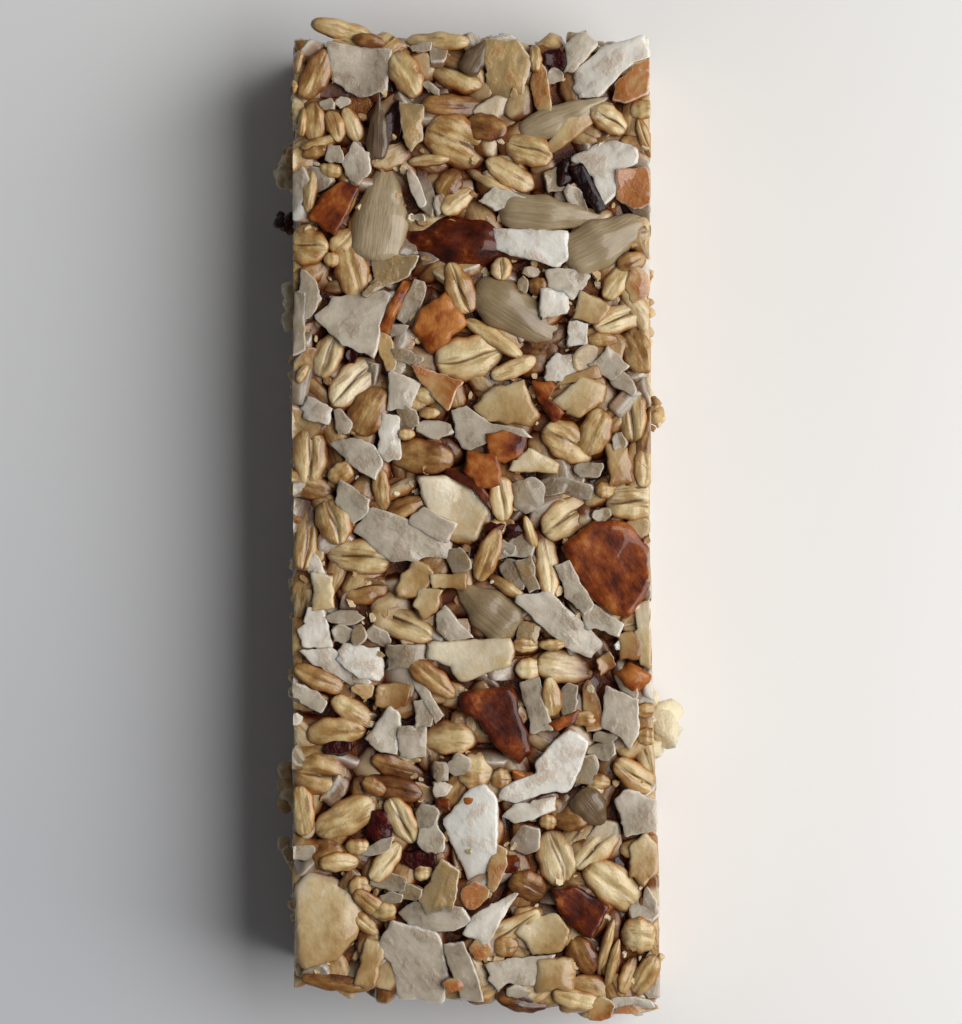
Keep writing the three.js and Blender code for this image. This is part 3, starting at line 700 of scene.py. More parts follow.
# From the middle of the top to the middle of the underside: share of the outline, and height.
FLAKE_ROWS = [
    (0.3, 1.0), (0.55, 1.0), (0.78, 1.0), (0.9, 1.0), (0.975, 0.96), (1.0, 0.6),
    (1.0, -0.5), (0.98, -0.9), (0.8, -1.0), (0.4, -1.0),
]
CHIPS = [
    (.5, -14.6, 47.7, -8.2, 47.1, -8.5, 42.8, -11.7, 42.1, -12.7, 43, -14, 44),
    (.8, 1.2, 48.2, 4.6, 48.4, 6, 46, 4.8, 42.1, 1.4, 42.1, 1.3, 44.7),
    (.1, 10.5, 44.9, 13.4, 47.4, 17.4, 48.7, 17.9, 46.2, 16.6, 46.1, 14.2, 43.6, 13.1, 42.5, 10.9, 42.1,
     10, 43.3), (.2, 9.3, 47.4, 10.2, 48.8, 11.2, 48.6, 12.8, 47.6, 10.2, 44.9, 9.2, 44.7),
    (.25, 9.7, 36, 12.5, 37.7, 14.7, 38, 17, 37.2, 16.6, 35.6, 14.6, 35.1, 14.4, 32, 13.1, 31.1, 12.3,
     34, 11.2, 35.2), (.15, 1.8, 29.2, 9.7, 28.9, 9.7, 26, 8.6, 25.2, 1.9, 27.2),
    (.3, 1.9, 33.3, 3.2, 33.2, 5.4, 32, 2.2, 30.7, .9, 31.7),
    (.78, -7.6, 42, -4.9, 41.6, -4.8, 38, -6, 37, -7, 38.4),
    (.4, -11.8, 37.7, -10.2, 36.5, -10.4, 34.8, -11.3, 33.3, -12.5, 34.1, -13, 35.6),
    (.7, -10.2, 26.2, -5.1, 26.3, -6.3, 24.3, -8.9, 23.3, -10.9, 22.2, -9.9, 23.8),
    (.3, -15.9, 20.1, -13.9, 22.2, -8.8, 23.1, -8.1, 22.3, -8.9, 19.6, -9.7, 16, -12.3, 17, -14.4, 18.5),
    (.45, -17.1, 24.9, -15.5, 23.9, -15, 22, -16.3, 20.1, -17.1, 19.9),
    (.5, -17.9, 22.6, -16.5, 22.4, -16.4, 16.6, -17.9, 16.4),
    (.3, 7.2, 24.7, 10.1, 25.2, 12.2, 24.6, 11.3, 23.4, 10.1, 22.2, 7.5, 23.3),
    (.15, 6.9, 23.1, 9.8, 23.3, 9.7, 20.3, 7, 20.1), (.2, 9.7, 19.9, 11.7, 19.8, 11.6, 17.6, 9.8, 17.5),
    (.3, 13.8, 17.3, 15.7, 15.4, 13.9, 13.6, 11.9, 15.4),
    (.15, 6.9, 15.5, 8.2, 16.7, 10.6, 16.4, 11, 14.9, 9.2, 13.7, 7.3, 14),
    (.3, -8.5, 14.7, -7.3, 14.5, -5, 13.7, -6.1, 11.1, -8.5, 11),
    (.35, -16.2, 12.1, -13.9, 11.1, -14.1, 9.5, -17.1, 10.1, -17.1, 11.1),
    (.3, -9.2, 10.9, -7.4, 10, -7.3, 6, -8.6, 5.6, -9.6, 6.4),
    (.4, -14.5, 7.9, -12, 8.3, -10.1, 7.6, -8.5, 6, -9.7, 3.7, -11, 4.5, -12.6, 5.8),
    (.5, -2.2, 11.2, -.6, 11.3, 2, 9.7, 5, 9.2, 5.9, 8.2, 3, 8.5, 0, 6.7, -.9, 6.9, -1.5, 8.2),
    (.35, -13.3, 4.1, -9.9, 2.1, -10.3, .6, -12, -.5, -13.6, 1.6),
    (.3, -10.2, 1.3, -6, -.2, -1.8, -2.2, -2.3, -3.8, -4.3, -3.9, -8.2, -4.5, -10, -2.7, -11.9, -1.3),
    (.3, -17.4, -2.4, -15.8, -3.5, -14.2, -6.6, -14.9, -7.2, -16.6, -4.9),
    (.6, 4.2, -4.5, 5.9, -3.7, 6.4, -5, 7, -7.2, 5.8, -7.3),
    (.4, 8.4, -4.6, 9.7, -4.2, 12.3, -8.6, 11.3, -9.6, 9.5, -7.7),
    (.4, 10.8, -8.9, 11.4, -8.2, 15.4, -10.6, 14.6, -12, 11.8, -10.9),
    (.25, 4.3, -7.7, 7.5, -7.2, 10.7, -10, 13.3, -12.5, 12, -13.9, 9.3, -13, 7.3, -10.8, 4.5, -8.5),
    (.6, 4.5, -9.8, 7, -11, 6.2, -12.6, 4.4, -12),
    (.45, -3.7, -9.3, -2.7, -8.8, .5, -11.8, -2.3, -12.1, -3.3, -11),
    (.2, -16.6, -8.6, -15, -8.7, -14.3, -10.5, -14.1, -12.8, -17.3, -12.8, -17.4, -11.2, -16.7, -10.3),
    (.25, -17.4, -13, -14, -13, -12.5, -14.5, -10, -16.5, -11.5, -17, -14, -15.5, -16, -14.6),
    (.1, -12.8, -12.5, -9.2, -13, -8.5, -14.7, -9.2, -16.2, -11, -16, -13.8, -14),
    (.5, -8.5, -12.6, -4.5, -12.7, -4.6, -15, -8.4, -15.1),
    (.3, -18, -16.2, -16, -17.2, -14.7, -18.2, -15, -19.8, -16.7, -18.7, -18, -17.8),
    (.35, -8.5, -18.7, -7.2, -19.7, -7.2, -21.3, -7.6, -23.7, -9.2, -23, -10.7, -22),
    (.4, -7.6, -20.4, -4.6, -20.6, -4.5, -24, -7.2, -23.8),
    (.4, -5.8, -18.4, -3.8, -18.3, -3.9, -20.9, -5.7, -20.8),
    (.3, -6.7, -15.7, -5.6, -15.3, -2.6, -19.9, -3.5, -20.5),
    (.35, 13.2, -16.7, 16.7, -18.2, 16.5, -21.7, 15.7, -22.8, 15, -21.8, 13, -21),
    (.45, 4.6, -16.4, 6.7, -15.9, 7.9, -21, 5.9, -21.5),
    (.15, 9.7, -20.9, 11.9, -22.2, 10.7, -25, 9.8, -27, 8.3, -27.2, 4.2, -28.7, 2.9, -28, 3, -27, 4.5,
     -26.2, 6.4, -25.9, 6.4, -24.5, 8, -22.3),
    (0, -3.1, -30.2, -1.2, -28.3, -.4, -27, 1.6, -26.3, 2.5, -28, 2.7, -30.5, 2.7, -33.5, 1, -36, -.5,
     -36.8, -1.3, -34, -2.7, -31.5),
    (.2, 8.3, -27.7, 8.5, -29.1, 5.8, -30.4, 4, -30.5, 2.9, -29.8, 4, -28.7, 6, -28.2),
    (.35, 14.3, -28, 15.5, -26.8, 17, -27.5, 18.6, -28.3, 18.6, -31, 15.2, -31.9, 15, -30.5),
    (.75, -3.1, -34, -1.3, -35.2, -2, -39.2, -4.4, -39.5, -5.3, -38.3),
    (.35, -7.4, -39.3, -5.5, -38.3, -1, -39, 0, -40.5, -1.5, -41.5, -4, -41, -6.5, -40.5),
    (.25, 5.2, -36.9, 4, -38.6, 2.2, -41.7, 1.3, -42.6, -1, -41.5, 0, -39.5, 2, -38.6),
    (.25, -8.2, -40.3, -3.8, -41.1, -3.3, -41.7, -2.2, -46, -2.8, -48.6, -7.4, -48, -8.5, -44.5, -9.4,
     -43.3), (.6, -2.8, -42.7, -.8, -42.3, .3, -45, 1.2, -48, -1, -48.2, -1.8, -46.5),
    (.3, 1.2, -44.3, 4.2, -43.8, 8.5, -43.7, 7, -45.2, 6, -46.7, 3.5, -46.6, 2.4, -47.5, 1.8, -46),
]
TOASTED = [
    (1, -6.2, 15.6, -.8, 13.8, -1.9, 12.2, -2.4, 10.8, -3.3, 11.6, -5.3, 13.8),
    (1, 14.4, 43.6, 16.5, 45.5, 17.8, 46.2, 17.8, 42.5, 15.4, 41.7, 14.1, 42),
    (1, 14.4, 35.1, 17.6, 35.1, 18.3, 33.2, 18.2, 31.6, 16.3, 31.1, 14.4, 32),
]
# Each row is x, y, length, width, turn and shade.
BITS = [
    (-14.4, 41.5, 1.6, 1.3, 0, .3), (-13, 41.8, 1.3, 1.2, 0, .3), (-13.7, 36.5, 1.8, 1.6, 0, .2),
    (-4.1, 43.2, 2, .8, -40, .3), (-5.1, 47.2, 2.3, .9, 0, .3), (-5.6, 32.9, 4.2, 1.1, -72, .3),
    (-4.6, 32.5, 5, 1.8, -78, .25), (-3.3, 31.3, 1.3, 2.3, 0, .4), (-5.5, 30.2, 1.6, .8, 0, .4),
    (-6.6, 27.2, 2, 1.8, 0, .5), (7, 43.2, 6, 1.9, 97, .8), (8.2, 44.4, 1.7, 1.6, 0, .4),
    (12.8, 40.9, 2.4, 2, 0, .5), (8.1, 33.9, 2, 2.4, 0, .4), (10.6, 31.9, 3.5, 1.6, -60, .4),
    (-10, 23, 2.3, .7, 38, .5), (-6, 21.8, 4.3, 1.7, 65, .55), (-8.6, 16.5, 3.8, 1.6, 100, .75),
    (-7.4, 19, 2, 1.2, 0, .4), (-6.4, 16.2, 3.4, 1.3, -20, .4), (-7.4, 15.2, 1.5, 1.3, 0, .4),
    (-13, 9.6, 1.8, 2.6, 0, .4), (-3.8, 8.9, 3.8, 2, 0, .35), (3.5, 23.2, 2.8, 1, 0, .75),
    (5.9, 24.8, 2, 1, 0, .4), (5.2, 23.5, .9, 1.6, 0, .4), (16.6, 23.3, 2.4, 3.4, 0, .8),
    (14.8, 7.7, 1.6, 2, 0, .4), (11.7, 4.9, 3, 1.4, 0, .4), (9.8, 3.2, 5, 1.6, -10, .3),
    (5.8, 2.4, 3.2, 3.4, 0, .45), (12.9, .4, 1.8, 1.2, 0, .4), (-16.5, 3, 3.4, 1.6, 0, .4),
    (-1.2, -4.2, 2.4, 2.6, 0, .4), (4.5, -3, 3, 1.8, 0, .3), (2.8, -3, 3, 2, 0, .5),
    (-12.6, -9.9, 4, 1.4, 0, .4), (-13, -11.5, 2.2, 1.8, 0, .35), (-11.3, -11.7, 1.3, 1.8, 0, .4),
    (-9.2, -11.8, 2.8, 1.8, -30, .3), (-11, -17.2, 2, 1.5, 0, .75), (14.8, -12.7, 1.4, .9, 0, 0),
    (15.6, -16.8, 3, 1.2, -45, .4), (13.3, -21.9, 2.4, 1.2, 0, .4), (13, -23.3, 3, 2, 0, .3),
    (-17.8, -20, 1.6, 1, 0, .2), (-3.2, -25.3, 1.6, 2, 0, .4), (-1.3, -24.5, 2.4, 2, 0, .4),
    (-3, -27.1, 2, 1.6, 0, .4), (-5, -27.5, 4, 2, 0, .75), (-4.3, -29.8, 2.2, 2.6, 0, .4),
    (-4, -32, 2.6, 3, 0, .3), (-17.4, -33.4, 3.4, 1.3, 0, .3), (-9.3, -32.8, 3.4, 1.2, 25, .4),
    (-8.3, -36.3, 3.4, 2, 0, .4), (-6.2, -37.3, 2.2, 1.6, 0, .4), (-8, -37.9, 2, 1, 0, .4),
    (2.5, -35, 4.5, 1.6, 70, .75), (.8, -43.1, 2.4, 2, 0, .8), (17.9, -38.4, 1.4, 3, 0, .2),
    (5.4, -32, 2.6, 3, 0, .35), (11.3, -25, 2.6, 2.6, 0, .4), (15.3, 13.7, 3.5, 1.6, -35, .35),
    (11.4, 16, 2.6, 2.8, 0, .65), (-6.5, 10.3, 2.2, 2.2, 0, .4), (-4, -.5, 4.5, 2.5, -25, .35),
    (4.3, -5.7, 3.9, 1.8, -58, .4), (9.7, -18.2, 3, 1.6, 85, .4), (15.8, -48.5, 4.2, 1.2, 0, .1),
    (16.5, -49.1, 4.6, 1, 8, .8), (13, -49, 2.4, 2.4, 0, .8), (12, -18.9, 5.2, 1.8, 98, .8),
    (.3, -37.6, 2.8, 2.6, 0, 1), (-1.7, -46.6, 2.6, 1.2, 0, 1), (4.6, -47.3, 2.6, 1.3, 0, .4),
]


def chipped(corners, by, seed):
    """Outlines with every corner moved a little, by up to this many mm each way."""
    random = np.random.default_rng(seed)
    return corners + random.uniform(-by, by, corners.shape) + 1j * random.uniform(-by, by, corners.shape)


def lay_flakes(
    name, corners, x, y, turn, shade, thick, top, spread, seed, sides, lean, rows=FLAKE_ROWS,
    ragged=0.2, fade=0.0,
):
    """One mesh of flat pieces on the pressed top, leaning by up to lean degrees, with domes and cups that
    vary by spread, rims that wander by ragged, and a shade that fades by fade towards the near right."""
    random = np.random.default_rng(seed)
    count = len(corners)
    cup = random.uniform(-1, 1, count) * spread
    dome = 0.35 * spread * random.uniform(0, 1, count)
    points, level = slabs(corners, thick, dome, cup, np.full(count, ragged), rows, sides, seed)
    tilt = random.uniform(-lean, lean, (count, 2))
    points, cut, local = set_in(points, x, y, turn, tilt, top=top, seed=seed)
    tint = np.clip(shade + random.uniform(-0.12, 0.12, count) * (shade < 0.7), 0, 1)[:, None]
    slope = points[..., 0] - points[..., 1]
    slope = slope - slope.mean(1, keepdims=True)
    tint = tint + fade * slope / np.abs(slope).max(1, keepdims=True)
    return build(name, points, len(rows), sides, marks_of(tint, level, cut, local))


random = np.random.default_rng(71)
corners, x, y, turn, shade = shape_of(CHIPS)
corners = chipped(corners, 0.22, 70)
count = len(corners)
coconut_chips = lay_flakes(
    "coconut_chips", corners, x, y, turn, shade, random.uniform(0.6, 0.95, count),
    17.1 - random.uniform(0, 0.35, count), 0.45, 72, sides=64, lean=7,
)
corners, x, y, turn, shade = shape_of(TOASTED)
toasted_chips = lay_flakes(
    "toasted_chips", corners, x, y, turn, shade, np.full(len(x), 0.9), np.full(len(x), 17.0), 0.45, 79,
    sides=64, lean=7,
)
x, y, length, width, turn, shade = np.array(BITS).T
shade = shade + 0.12
corners = shards(length * 1.12, width * 1.12, 73)
coconut_bits = lay_flakes(
    "coconut_bits", corners, x, y, turn, shade, np.clip(width * 0.6, 0.7, 1.3),
    17.0 - random.uniform(0, 0.5, len(x)), 0.15, 74, sides=24, lean=12,
)
BED_SIDES = 20
count = len(bed_coconut)
length = random.uniform(3.0, 6.5, count)
corners = shards(length, length * random.uniform(0.4, 0.85, count), 75)
thick, cup = random.uniform(0.9, 1.6, count), random.uniform(-0.3, 0.3, count)
points, level = slabs(
    corners, thick, np.full(count, 0.05), cup, np.full(count, 0.1), FLAKE_ROWS, BED_SIDES, 76
)
points, cut, local = set_in(
    points, *bed_coconut[:, :2].T, random.uniform(0, 360, count), random.normal(0, 32, (count, 2)),
    middle=bed_coconut[:, 2], ceiling=16.4, ends=True, seed=77,
)
tint = np.clip(random.normal(0.42, 0.2, count), 0, 0.85)[:, None]
marks = marks_of(tint, level, cut, local)
coconut_bed = build("coconut_bed", points, len(FLAKE_ROWS), BED_SIDES, marks)

material, shader, wire = new_material("dried_coconut")
local, tint, rim, cut = read("local", 1), read("tint"), read("rim"), read("cut")
sunk = read("sunk").step(SHALLOW, DEEP)
fibres = local.noise((0.35, 2.6, 1.5), 1.0, 4.0, 0.6)
glint_speckle = local.noise((1, 1, 1), 3.4, 3.0, 0.6)
cloud = local.noise((1, 1, 1), 0.45, 2.0)
shade = tint + 0.5 * (cloud - 0.5) + 0.16 * (fibres - 0.5)
flesh = shade.ramp(
    (0.0, srgb(250, 243, 232)), (0.3, srgb(204, 191, 171)), (0.55, srgb(158, 141, 117)),
    (0.72, srgb(166, 138, 92)), (0.85, srgb(204, 172, 116)), (1.0, srgb(184, 116, 52)),
)
glazed = ((1.0 - rim.step(-0.6, 0.5)) * 0.55 + cloud.step(0.5, 0.75) * 0.25).stain(flesh, AMBER)
# Painted highlights: white glint specks, and a bright band round each rim where the thin edges catch the
# light.
edge = rim.step(-0.2, 0.3) * (1.0 - rim.step(0.4, 0.75))
glints_and_rim_light = (0.25 * glint_speckle.step(0.6, 0.75) + 0.5 * edge).over(glazed, srgb(250, 245, 236))
# Cut faces are pale; painted shade with the syrup stain darkens what lies deep under the nearest face.
white_and_sunk_shade = sunk.stain((0.5 * cut).over(glints_and_rim_light, srgb(226, 216, 198)), DEEP_AMBER_AND_SHADE)
dress(
    shader, Base_Color=white_and_sunk_shade, Roughness=0.4, Coat_Roughness=0.05,
    Coat_Weight=(cloud.step(0.4, 0.6) * 0.4 + 0.6) * (1.0 - 0.8 * sunk),
    Normal=(0.2 * fibres + 1.3 * cloud + (0.3 + 0.5 * cloud.step(0.5, 0.6)) * glint_speckle).bump(0.00014),
    Subsurface_Weight=0.45, Subsurface_Scale=0.001, Subsurface_Radius=(1.0, 0.85, 0.7),
)
chip_nodes = [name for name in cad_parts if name.startswith("chip")]
finish_piece(coconut_chips, material, "coconut", *chip_nodes)
finish_piece(toasted_chips, material, "toasted_coconut", "toasted_chip_01")
finish_piece(coconut_bits, material, "coconut")
finish_piece(coconut_bed, material, "coconut")

# ---- Almonds ------------------------------------------------------------------------------------------
# Almonds chopped across, lying skin up: red-brown papery skin with fine wrinkles along the nut, syrup
# glaze, and cream flesh where the knife broke them. One is nearly whole.
SKINS = [
    (.55, -13.1, 33.7, -11.2, 33.2, -12.1, 31.1, -13.8, 28.4, -16.5, 30.1, -15.2, 32.4),
    (.75, -2.7, 23, -.4, 19.6, -2.4, 17.7, -3.3, 16.5, -4.6, 16.9, -6.2, 19.1, -5.1, 21),
    (.45, 10.5, -1.5, 12, -.3, 14, -.1, 16.3, -.8, 17.8, -2.8, 18.4, -6, 17.3, -7.8, 15.7, -10, 14.3,
     -9.7, 11.7, -8, 9.7, -5.2, 8.8, -2.7),
    (.4, -1.3, -17.3, 4, -16.7, 4.7, -18.8, 5.5, -21.7, 6, -23.3, 4.8, -24.6, 3.2, -23.7, 1.8, -22, .3,
     -20, -1.3, -19.5), (.55, 1.2, 8.6, 5.6, 8.8, 5.4, 6.4, 3.2, 5.6, 1.6, 6.2),
    (.65, -.4, 6.9, 2.6, 6.4, 3, 3.4, .6, 3, -.8, 4.6),
    (.45, 5.9, 13.8, 8, 13.8, 8.6, 13.2, 7.7, 12.1, 9.4, 10.6, 8.1, 9.5, 6.7, 11.9),
    (.6, -6.9, 24.1, -6, 23.7, -8.7, 17.8, -9.9, 18.4),
    (.4, -3, 5.4, -2.8, 4.4, .4, 2.8, 2, .6, 2.4, 1.6, .6, 3.9),
    (.6, 14.2, -15.4, 15.6, -14.2, 18, -15.6, 17.8, -17.2, 16.4, -17.6),
    (.35, 8, -37, 10.5, -36.7, 13.8, -38.7, 12.9, -40.8, 11.9, -42, 10.3, -41.2, 8.6, -39.3),
    (.7, 4, -25.1, 6.2, -25.4, 6.4, -26.3, 4.4, -26.4),
    (.6, 6.8, -20.6, 8.6, -20.1, 10.8, -19, 10.4, -20.4, 8.6, -21.2),
    (.5, 3.3, -33.7, 4.6, -33.6, 4.7, -35.5, 3.4, -35.5), (.6, -1, -27.8, .7, -28, .6, -28.6, -1, -28.6),
    (.5, -3.7, -28, -2.3, -28.1, -2.3, -29.1, -3.7, -29),
    (.3, -13.1, 37.3, -12.1, 37.2, -12.1, 36.5, -13.1, 36.5),
]
DOMED_ROWS = [
    (0.22, 1.0), (0.45, 1.0), (0.66, 1.0), (0.83, 0.99), (0.94, 0.94), (0.985, 0.78), (1.0, 0.45),
    (1.0, 0.0), (1.0, -0.4), (0.95, -0.8), (0.7, -1.0), (0.35, -1.0),
]
corners, x, y, turn, shade = shape_of(SKINS)
wide = np.abs(corners.imag).max(1)
almond_bits = lay_flakes(
    "almonds_chopped", corners, x, y, turn, shade, np.clip(1.0 * wide, 0.9, 3.2),
    np.where(wide > 1.6, 17.2, 16.9), 0.8, 81, 56, 3, DOMED_ROWS,
)
ALMOND_GRID = (34, 44)
points, level, _ = grains([10.6], [5.4], [4.6], [0.0], [0.28], *ALMOND_GRID, 82, 0.95)
points, cut, local = set_in(points, [-1.9], [27.9], [175], [(4, -2)], top=[17.15], seed=82)
almond_whole = build("almond_whole", points, *ALMOND_GRID, marks_of(0.24, 0.4 + 0.6 * level, cut, local))
material, shader, wire = new_material("almond_skin")
local, tint, rim, cut = read("local", 1), read("tint"), read("rim"), read("cut")
wrinkles = local.noise((0.5, 1.8, 1.8), 1.2, 5.0, 0.6)
patches = local.noise((1, 1, 1), 0.5, 4.0)
shade = tint + 0.35 * (wrinkles - 0.5) + 1.5 * (patches - 0.5)
skin = shade.ramp(
    (0.0, srgb(44, 12, 3)), (0.3, srgb(92, 32, 7)), (0.55, srgb(142, 66, 19)), (1.0, srgb(208, 136, 66)),
)
scuffed = (0.55 * patches.step(0.6, 0.7)).over(skin, srgb(182, 108, 54))
broken = (1.0 - (rim + 0.5 * (patches - 0.5)).step(-0.35, 0.1)).over(scuffed, srgb(184, 148, 92))
flat_cut = (0.7 * cut).over(broken, srgb(222, 198, 150))
dress(
    shader, Base_Color=flat_cut, Roughness=0.4, Coat_Weight=0.5, Coat_Roughness=0.04,
    Normal=(0.35 * wrinkles + patches).bump(0.00018), Specular_IOR_Level=0.2,
)
almond_nodes = [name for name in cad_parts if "almond" in name]
finish_piece(almond_bits, material, "almond_skin", *almond_nodes)
finish_piece(almond_whole, material, "almond_skin")

# ---- Cut nuts -----------------------------------------------------------------------------------------
# Almonds and other nuts sliced or broken with the pale flesh up, smooth and waxy under the syrup. Where
# skin is left it shows as a thin red-brown rim.
FLESH = [
    (.25, -17.8, -36.8, -16.6, -35.2, -13.7, -36.1, -11.9, -37.2, -10.8, -39.7, -11.6, -41.9, -14.1,
     -44.5, -16.8, -45.6, -17.7, -44, -18, -40.2),
    (.1, -5.8, 4.4, -2.9, 4.6, .3, 3.2, 1.9, 1.2, 1.3, -.5, .5, -2.2, -2.4, -1.6, -4.8, 1.5),
    (.45, -5.5, -3.8, -3.5, -5.3, -4.2, -6.7, -5.5, -8, -7.5, -8, -7.8, -6.7, -6.7, -5.3),
    (.3, -5.6, -6.7, -3.1, -7.1, -3.2, -9.3, -4.6, -9.8, -6, -8.8),
    (.5, -4, -5.4, -.3, -5.4, -.2, -7.1, -3.9, -7),
    (0, -4.4, -12.3, 4.1, -12.1, 4.4, -13.2, 3.9, -14.6, 1.4, -15.6, -.5, -16.6, -1.8, -16.4, -2.3, -15,
     -4.4, -13.9), (.4, 7.8, 11.9, 11.2, 14.4, 13.4, 13.3, 13.5, 11.9, 10.9, 10, 9.4, 10.6),
    (.35, 4.6, -41.6, 6, -39.6, 8.6, -39.5, 10.1, -41.4, 9, -43.4, 6.2, -43.6),
    (.45, 10.8, 22.9, 14, 21.5, 12.8, 19.7, 9.9, 20.2),
    (.25, 5.8, 7.3, 8.7, 5.8, 8.5, 4.6, 3.6, 4.8, 4.3, 5.8),
    (.35, 7.4, 37.2, 8, 36.6, 12, 39.6, 11.8, 41.4, 10, 41),
    (.6, -9.3, -16.6, -7.8, -16.2, -6.3, -16.9, -6.4, -18.8, -8.2, -19.2, -9.6, -18.4),
    (.35, 15.6, -32.4, 17.2, -31.6, 18.6, -32.6, 18.7, -35.4, 17.3, -36.8, 15.8, -35.9),
    (.55, 13.2, 7.6, 15.6, 7.2, 16, 3.4, 13.6, 3),
    (.5, -10.6, -41.8, -8.6, -42.6, -9.8, -47.2, -11.8, -46.8),
    (.55, 6.4, -44.2, 10.2, -44, 10.3, -47.2, 6.5, -47.4),
    (.2, -16.1, -5.4, -13.7, -5.5, -13.6, -9, -16, -9.1),
    (.2, 16.2, -8.4, 17.9, -7.8, 18.3, -12, 18.1, -15.2, 17, -14.6, 16.3, -11.4),
    (.7, 12.2, -14, 13.8, -13.2, 14.6, -14.8, 12.8, -15.6),
    (.65, 14.4, -11.6, 15.8, -11.1, 17.2, -12.1, 16.8, -13.9, 14.9, -14.1),
    (.45, .1, 11.4, 2, 13.3, 5.3, 13.8, 6.1, 11.9, 7, 10.5, 6.2, 9.4, 1.4, 9.7),
    (.6, 8.4, 13.2, 9, 14.2, 12.6, 15.3, 13, 14.2),
]
corners, x, y, turn, shade = shape_of(FLESH)
corners = chipped(corners, 0.22, 90)
shade = shade + 0.07
wide = np.abs(corners.imag).max(1)
nuts_cut = lay_flakes(
    "nuts_cut", corners, x, y, turn, shade, np.clip(1.1 * wide, 1.2, 3.0), np.where(wide > 1.9, 17.12, 16.95),
    0.7, 91, 48, 5, DOMED_ROWS, fade=0.28,
)
random = np.random.default_rng(92)
count = len(bed_nuts)
length = random.uniform(2.6, 5.0, count)
corners = shards(length, length * random.uniform(0.6, 0.95, count), 93)
thick = random.uniform(1.6, 2.8, count)
points, level = slabs(
    corners, thick, np.full(count, 0.3), np.zeros(count), np.full(count, 0.1), DOMED_ROWS, BED_SIDES, 94
)
points, cut, local = set_in(
    points, *bed_nuts[:, :2].T, random.uniform(0, 360, count), random.normal(0, 30, (count, 2)),
    middle=bed_nuts[:, 2], ceiling=16.3, ends=True, seed=95,
)
marks = marks_of(random.uniform(0, 0.8, count)[:, None], level, cut, local)
nuts_bed = build("nuts_bed", points, len(DOMED_ROWS), BED_SIDES, marks)
material, shader, wire = new_material("nut_flesh")
local, tint, rim = read("local", 1), read("tint"), read("rim")
sunk = read("sunk").step(SHALLOW, DEEP)
cloud = local.noise((1, 1, 1), 0.6, 4.0)
shade = tint + 0.8 * (cloud - 0.5)
flesh = shade.ramp(
    (0.0, srgb(234, 219, 190)), (0.3, srgb(214, 188, 140)),
    (0.6, srgb(184, 146, 92)), (1.0, srgb(150, 96, 46)),
)
edged = (1.0 - (rim + 0.8 * (cloud - 0.5)).step(-0.15, 0.7)).over(flesh, srgb(132, 78, 34))
# Painted shade with the syrup stain darkens what lies deep under the nearest face.
rind_and_sunk_shade = sunk.stain(edged, DEEP_AMBER_AND_SHADE)
dress(
    shader, Base_Color=rind_and_sunk_shade, Roughness=0.32, Coat_Weight=0.6, Coat_Roughness=0.1,
    Normal=(cloud + 0.4 * local.noise((1, 1, 1), 2.2)).bump(0.00012),
    Subsurface_Weight=0.12, Subsurface_Scale=0.001, Subsurface_Radius=(1.0, 0.85, 0.6),
)
slice_nodes = [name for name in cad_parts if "nut_slice" in name]
finish_piece(nuts_cut, material, "nut_flesh", *slice_nodes)
finish_piece(nuts_bed, material, "nut_flesh")

# ---- Sunflower kernels --------------------------------------------------------------------------------
# Hulled sunflower seeds, grey-beige teardrops with fine ridges from the blunt foot to the tip.
# Each row is x, y, length, width, turn towards the tip, and shade.
KERNELS = [
    (-9, 31.6, 11.8, 5.4, 83, .3), (7.9, 30.5, 10.8, 3.9, -4, .45), (13.8, 28.1, 10.2, 4.9, 27, .4),
    (5.3, 20.2, 12, 4.8, -31, .6), (1.4, -9, 8.2, 4.8, 142, .6), (9.3, 40.3, 9.6, 3, 22, .35),
    (-9.4, 39.4, 6.6, 2, 88, 1.3), (12, -29.2, 4.6, 3.6, -50, 1.1), (.3, 46.3, 4, 2.2, 60, 1.2),
]
random = np.random.default_rng(96)
x, y, length, width, turn, shade = np.array(KERNELS).T
count = len(x)
thick = np.clip(width * 0.55, 1.2, 2.6)
KERNEL_GRID = (30, 40)
points, level, _ = grains(
    length, 0.92 * width, thick, np.zeros(count), np.where(x < -8.9, 0.75, 0.5), *KERNEL_GRID, 97, 1.15
)
tilt = random.uniform(-4, 4, (count, 2))
points, cut, local = set_in(points, x, y, turn, tilt, top=np.full(count, 17.15), seed=98)
kernels = build("sunflower_kernels", points, *KERNEL_GRID, marks_of(shade[:, None], level, cut, local))
material, shader, wire = new_material("sunflower_kernel")
local, tint, rim = read("local", 1), read("tint"), read("rim")
ridges = local.noise((0.16, 3.4, 3.4), 1.1, 4.0)
cloud = local.noise((1, 1, 1), 0.4)
shade = 0.5 * tint + 0.35 * (cloud - 0.5) + 0.36 * (ridges - 0.5)
hull = shade.ramp(
    (0.0, srgb(196, 176, 142)), (0.25, srgb(156, 134, 100)), (0.5, srgb(122, 99, 70)),
    (0.75, srgb(84, 60, 38)), (1.0, srgb(50, 32, 20)),
)
edged = (1.0 - rim.step(-0.3, 0.4)).over(hull, srgb(108, 76, 42))
dress(
    shader, Base_Color=edged, Roughness=0.38, Coat_Weight=0.5, Coat_Roughness=0.1, Normal=ridges.bump(0.00008)
)
kernel_nodes = [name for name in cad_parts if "kernel" in name]
finish_piece(kernels, material, "sunflower_kernel", *kernel_nodes)
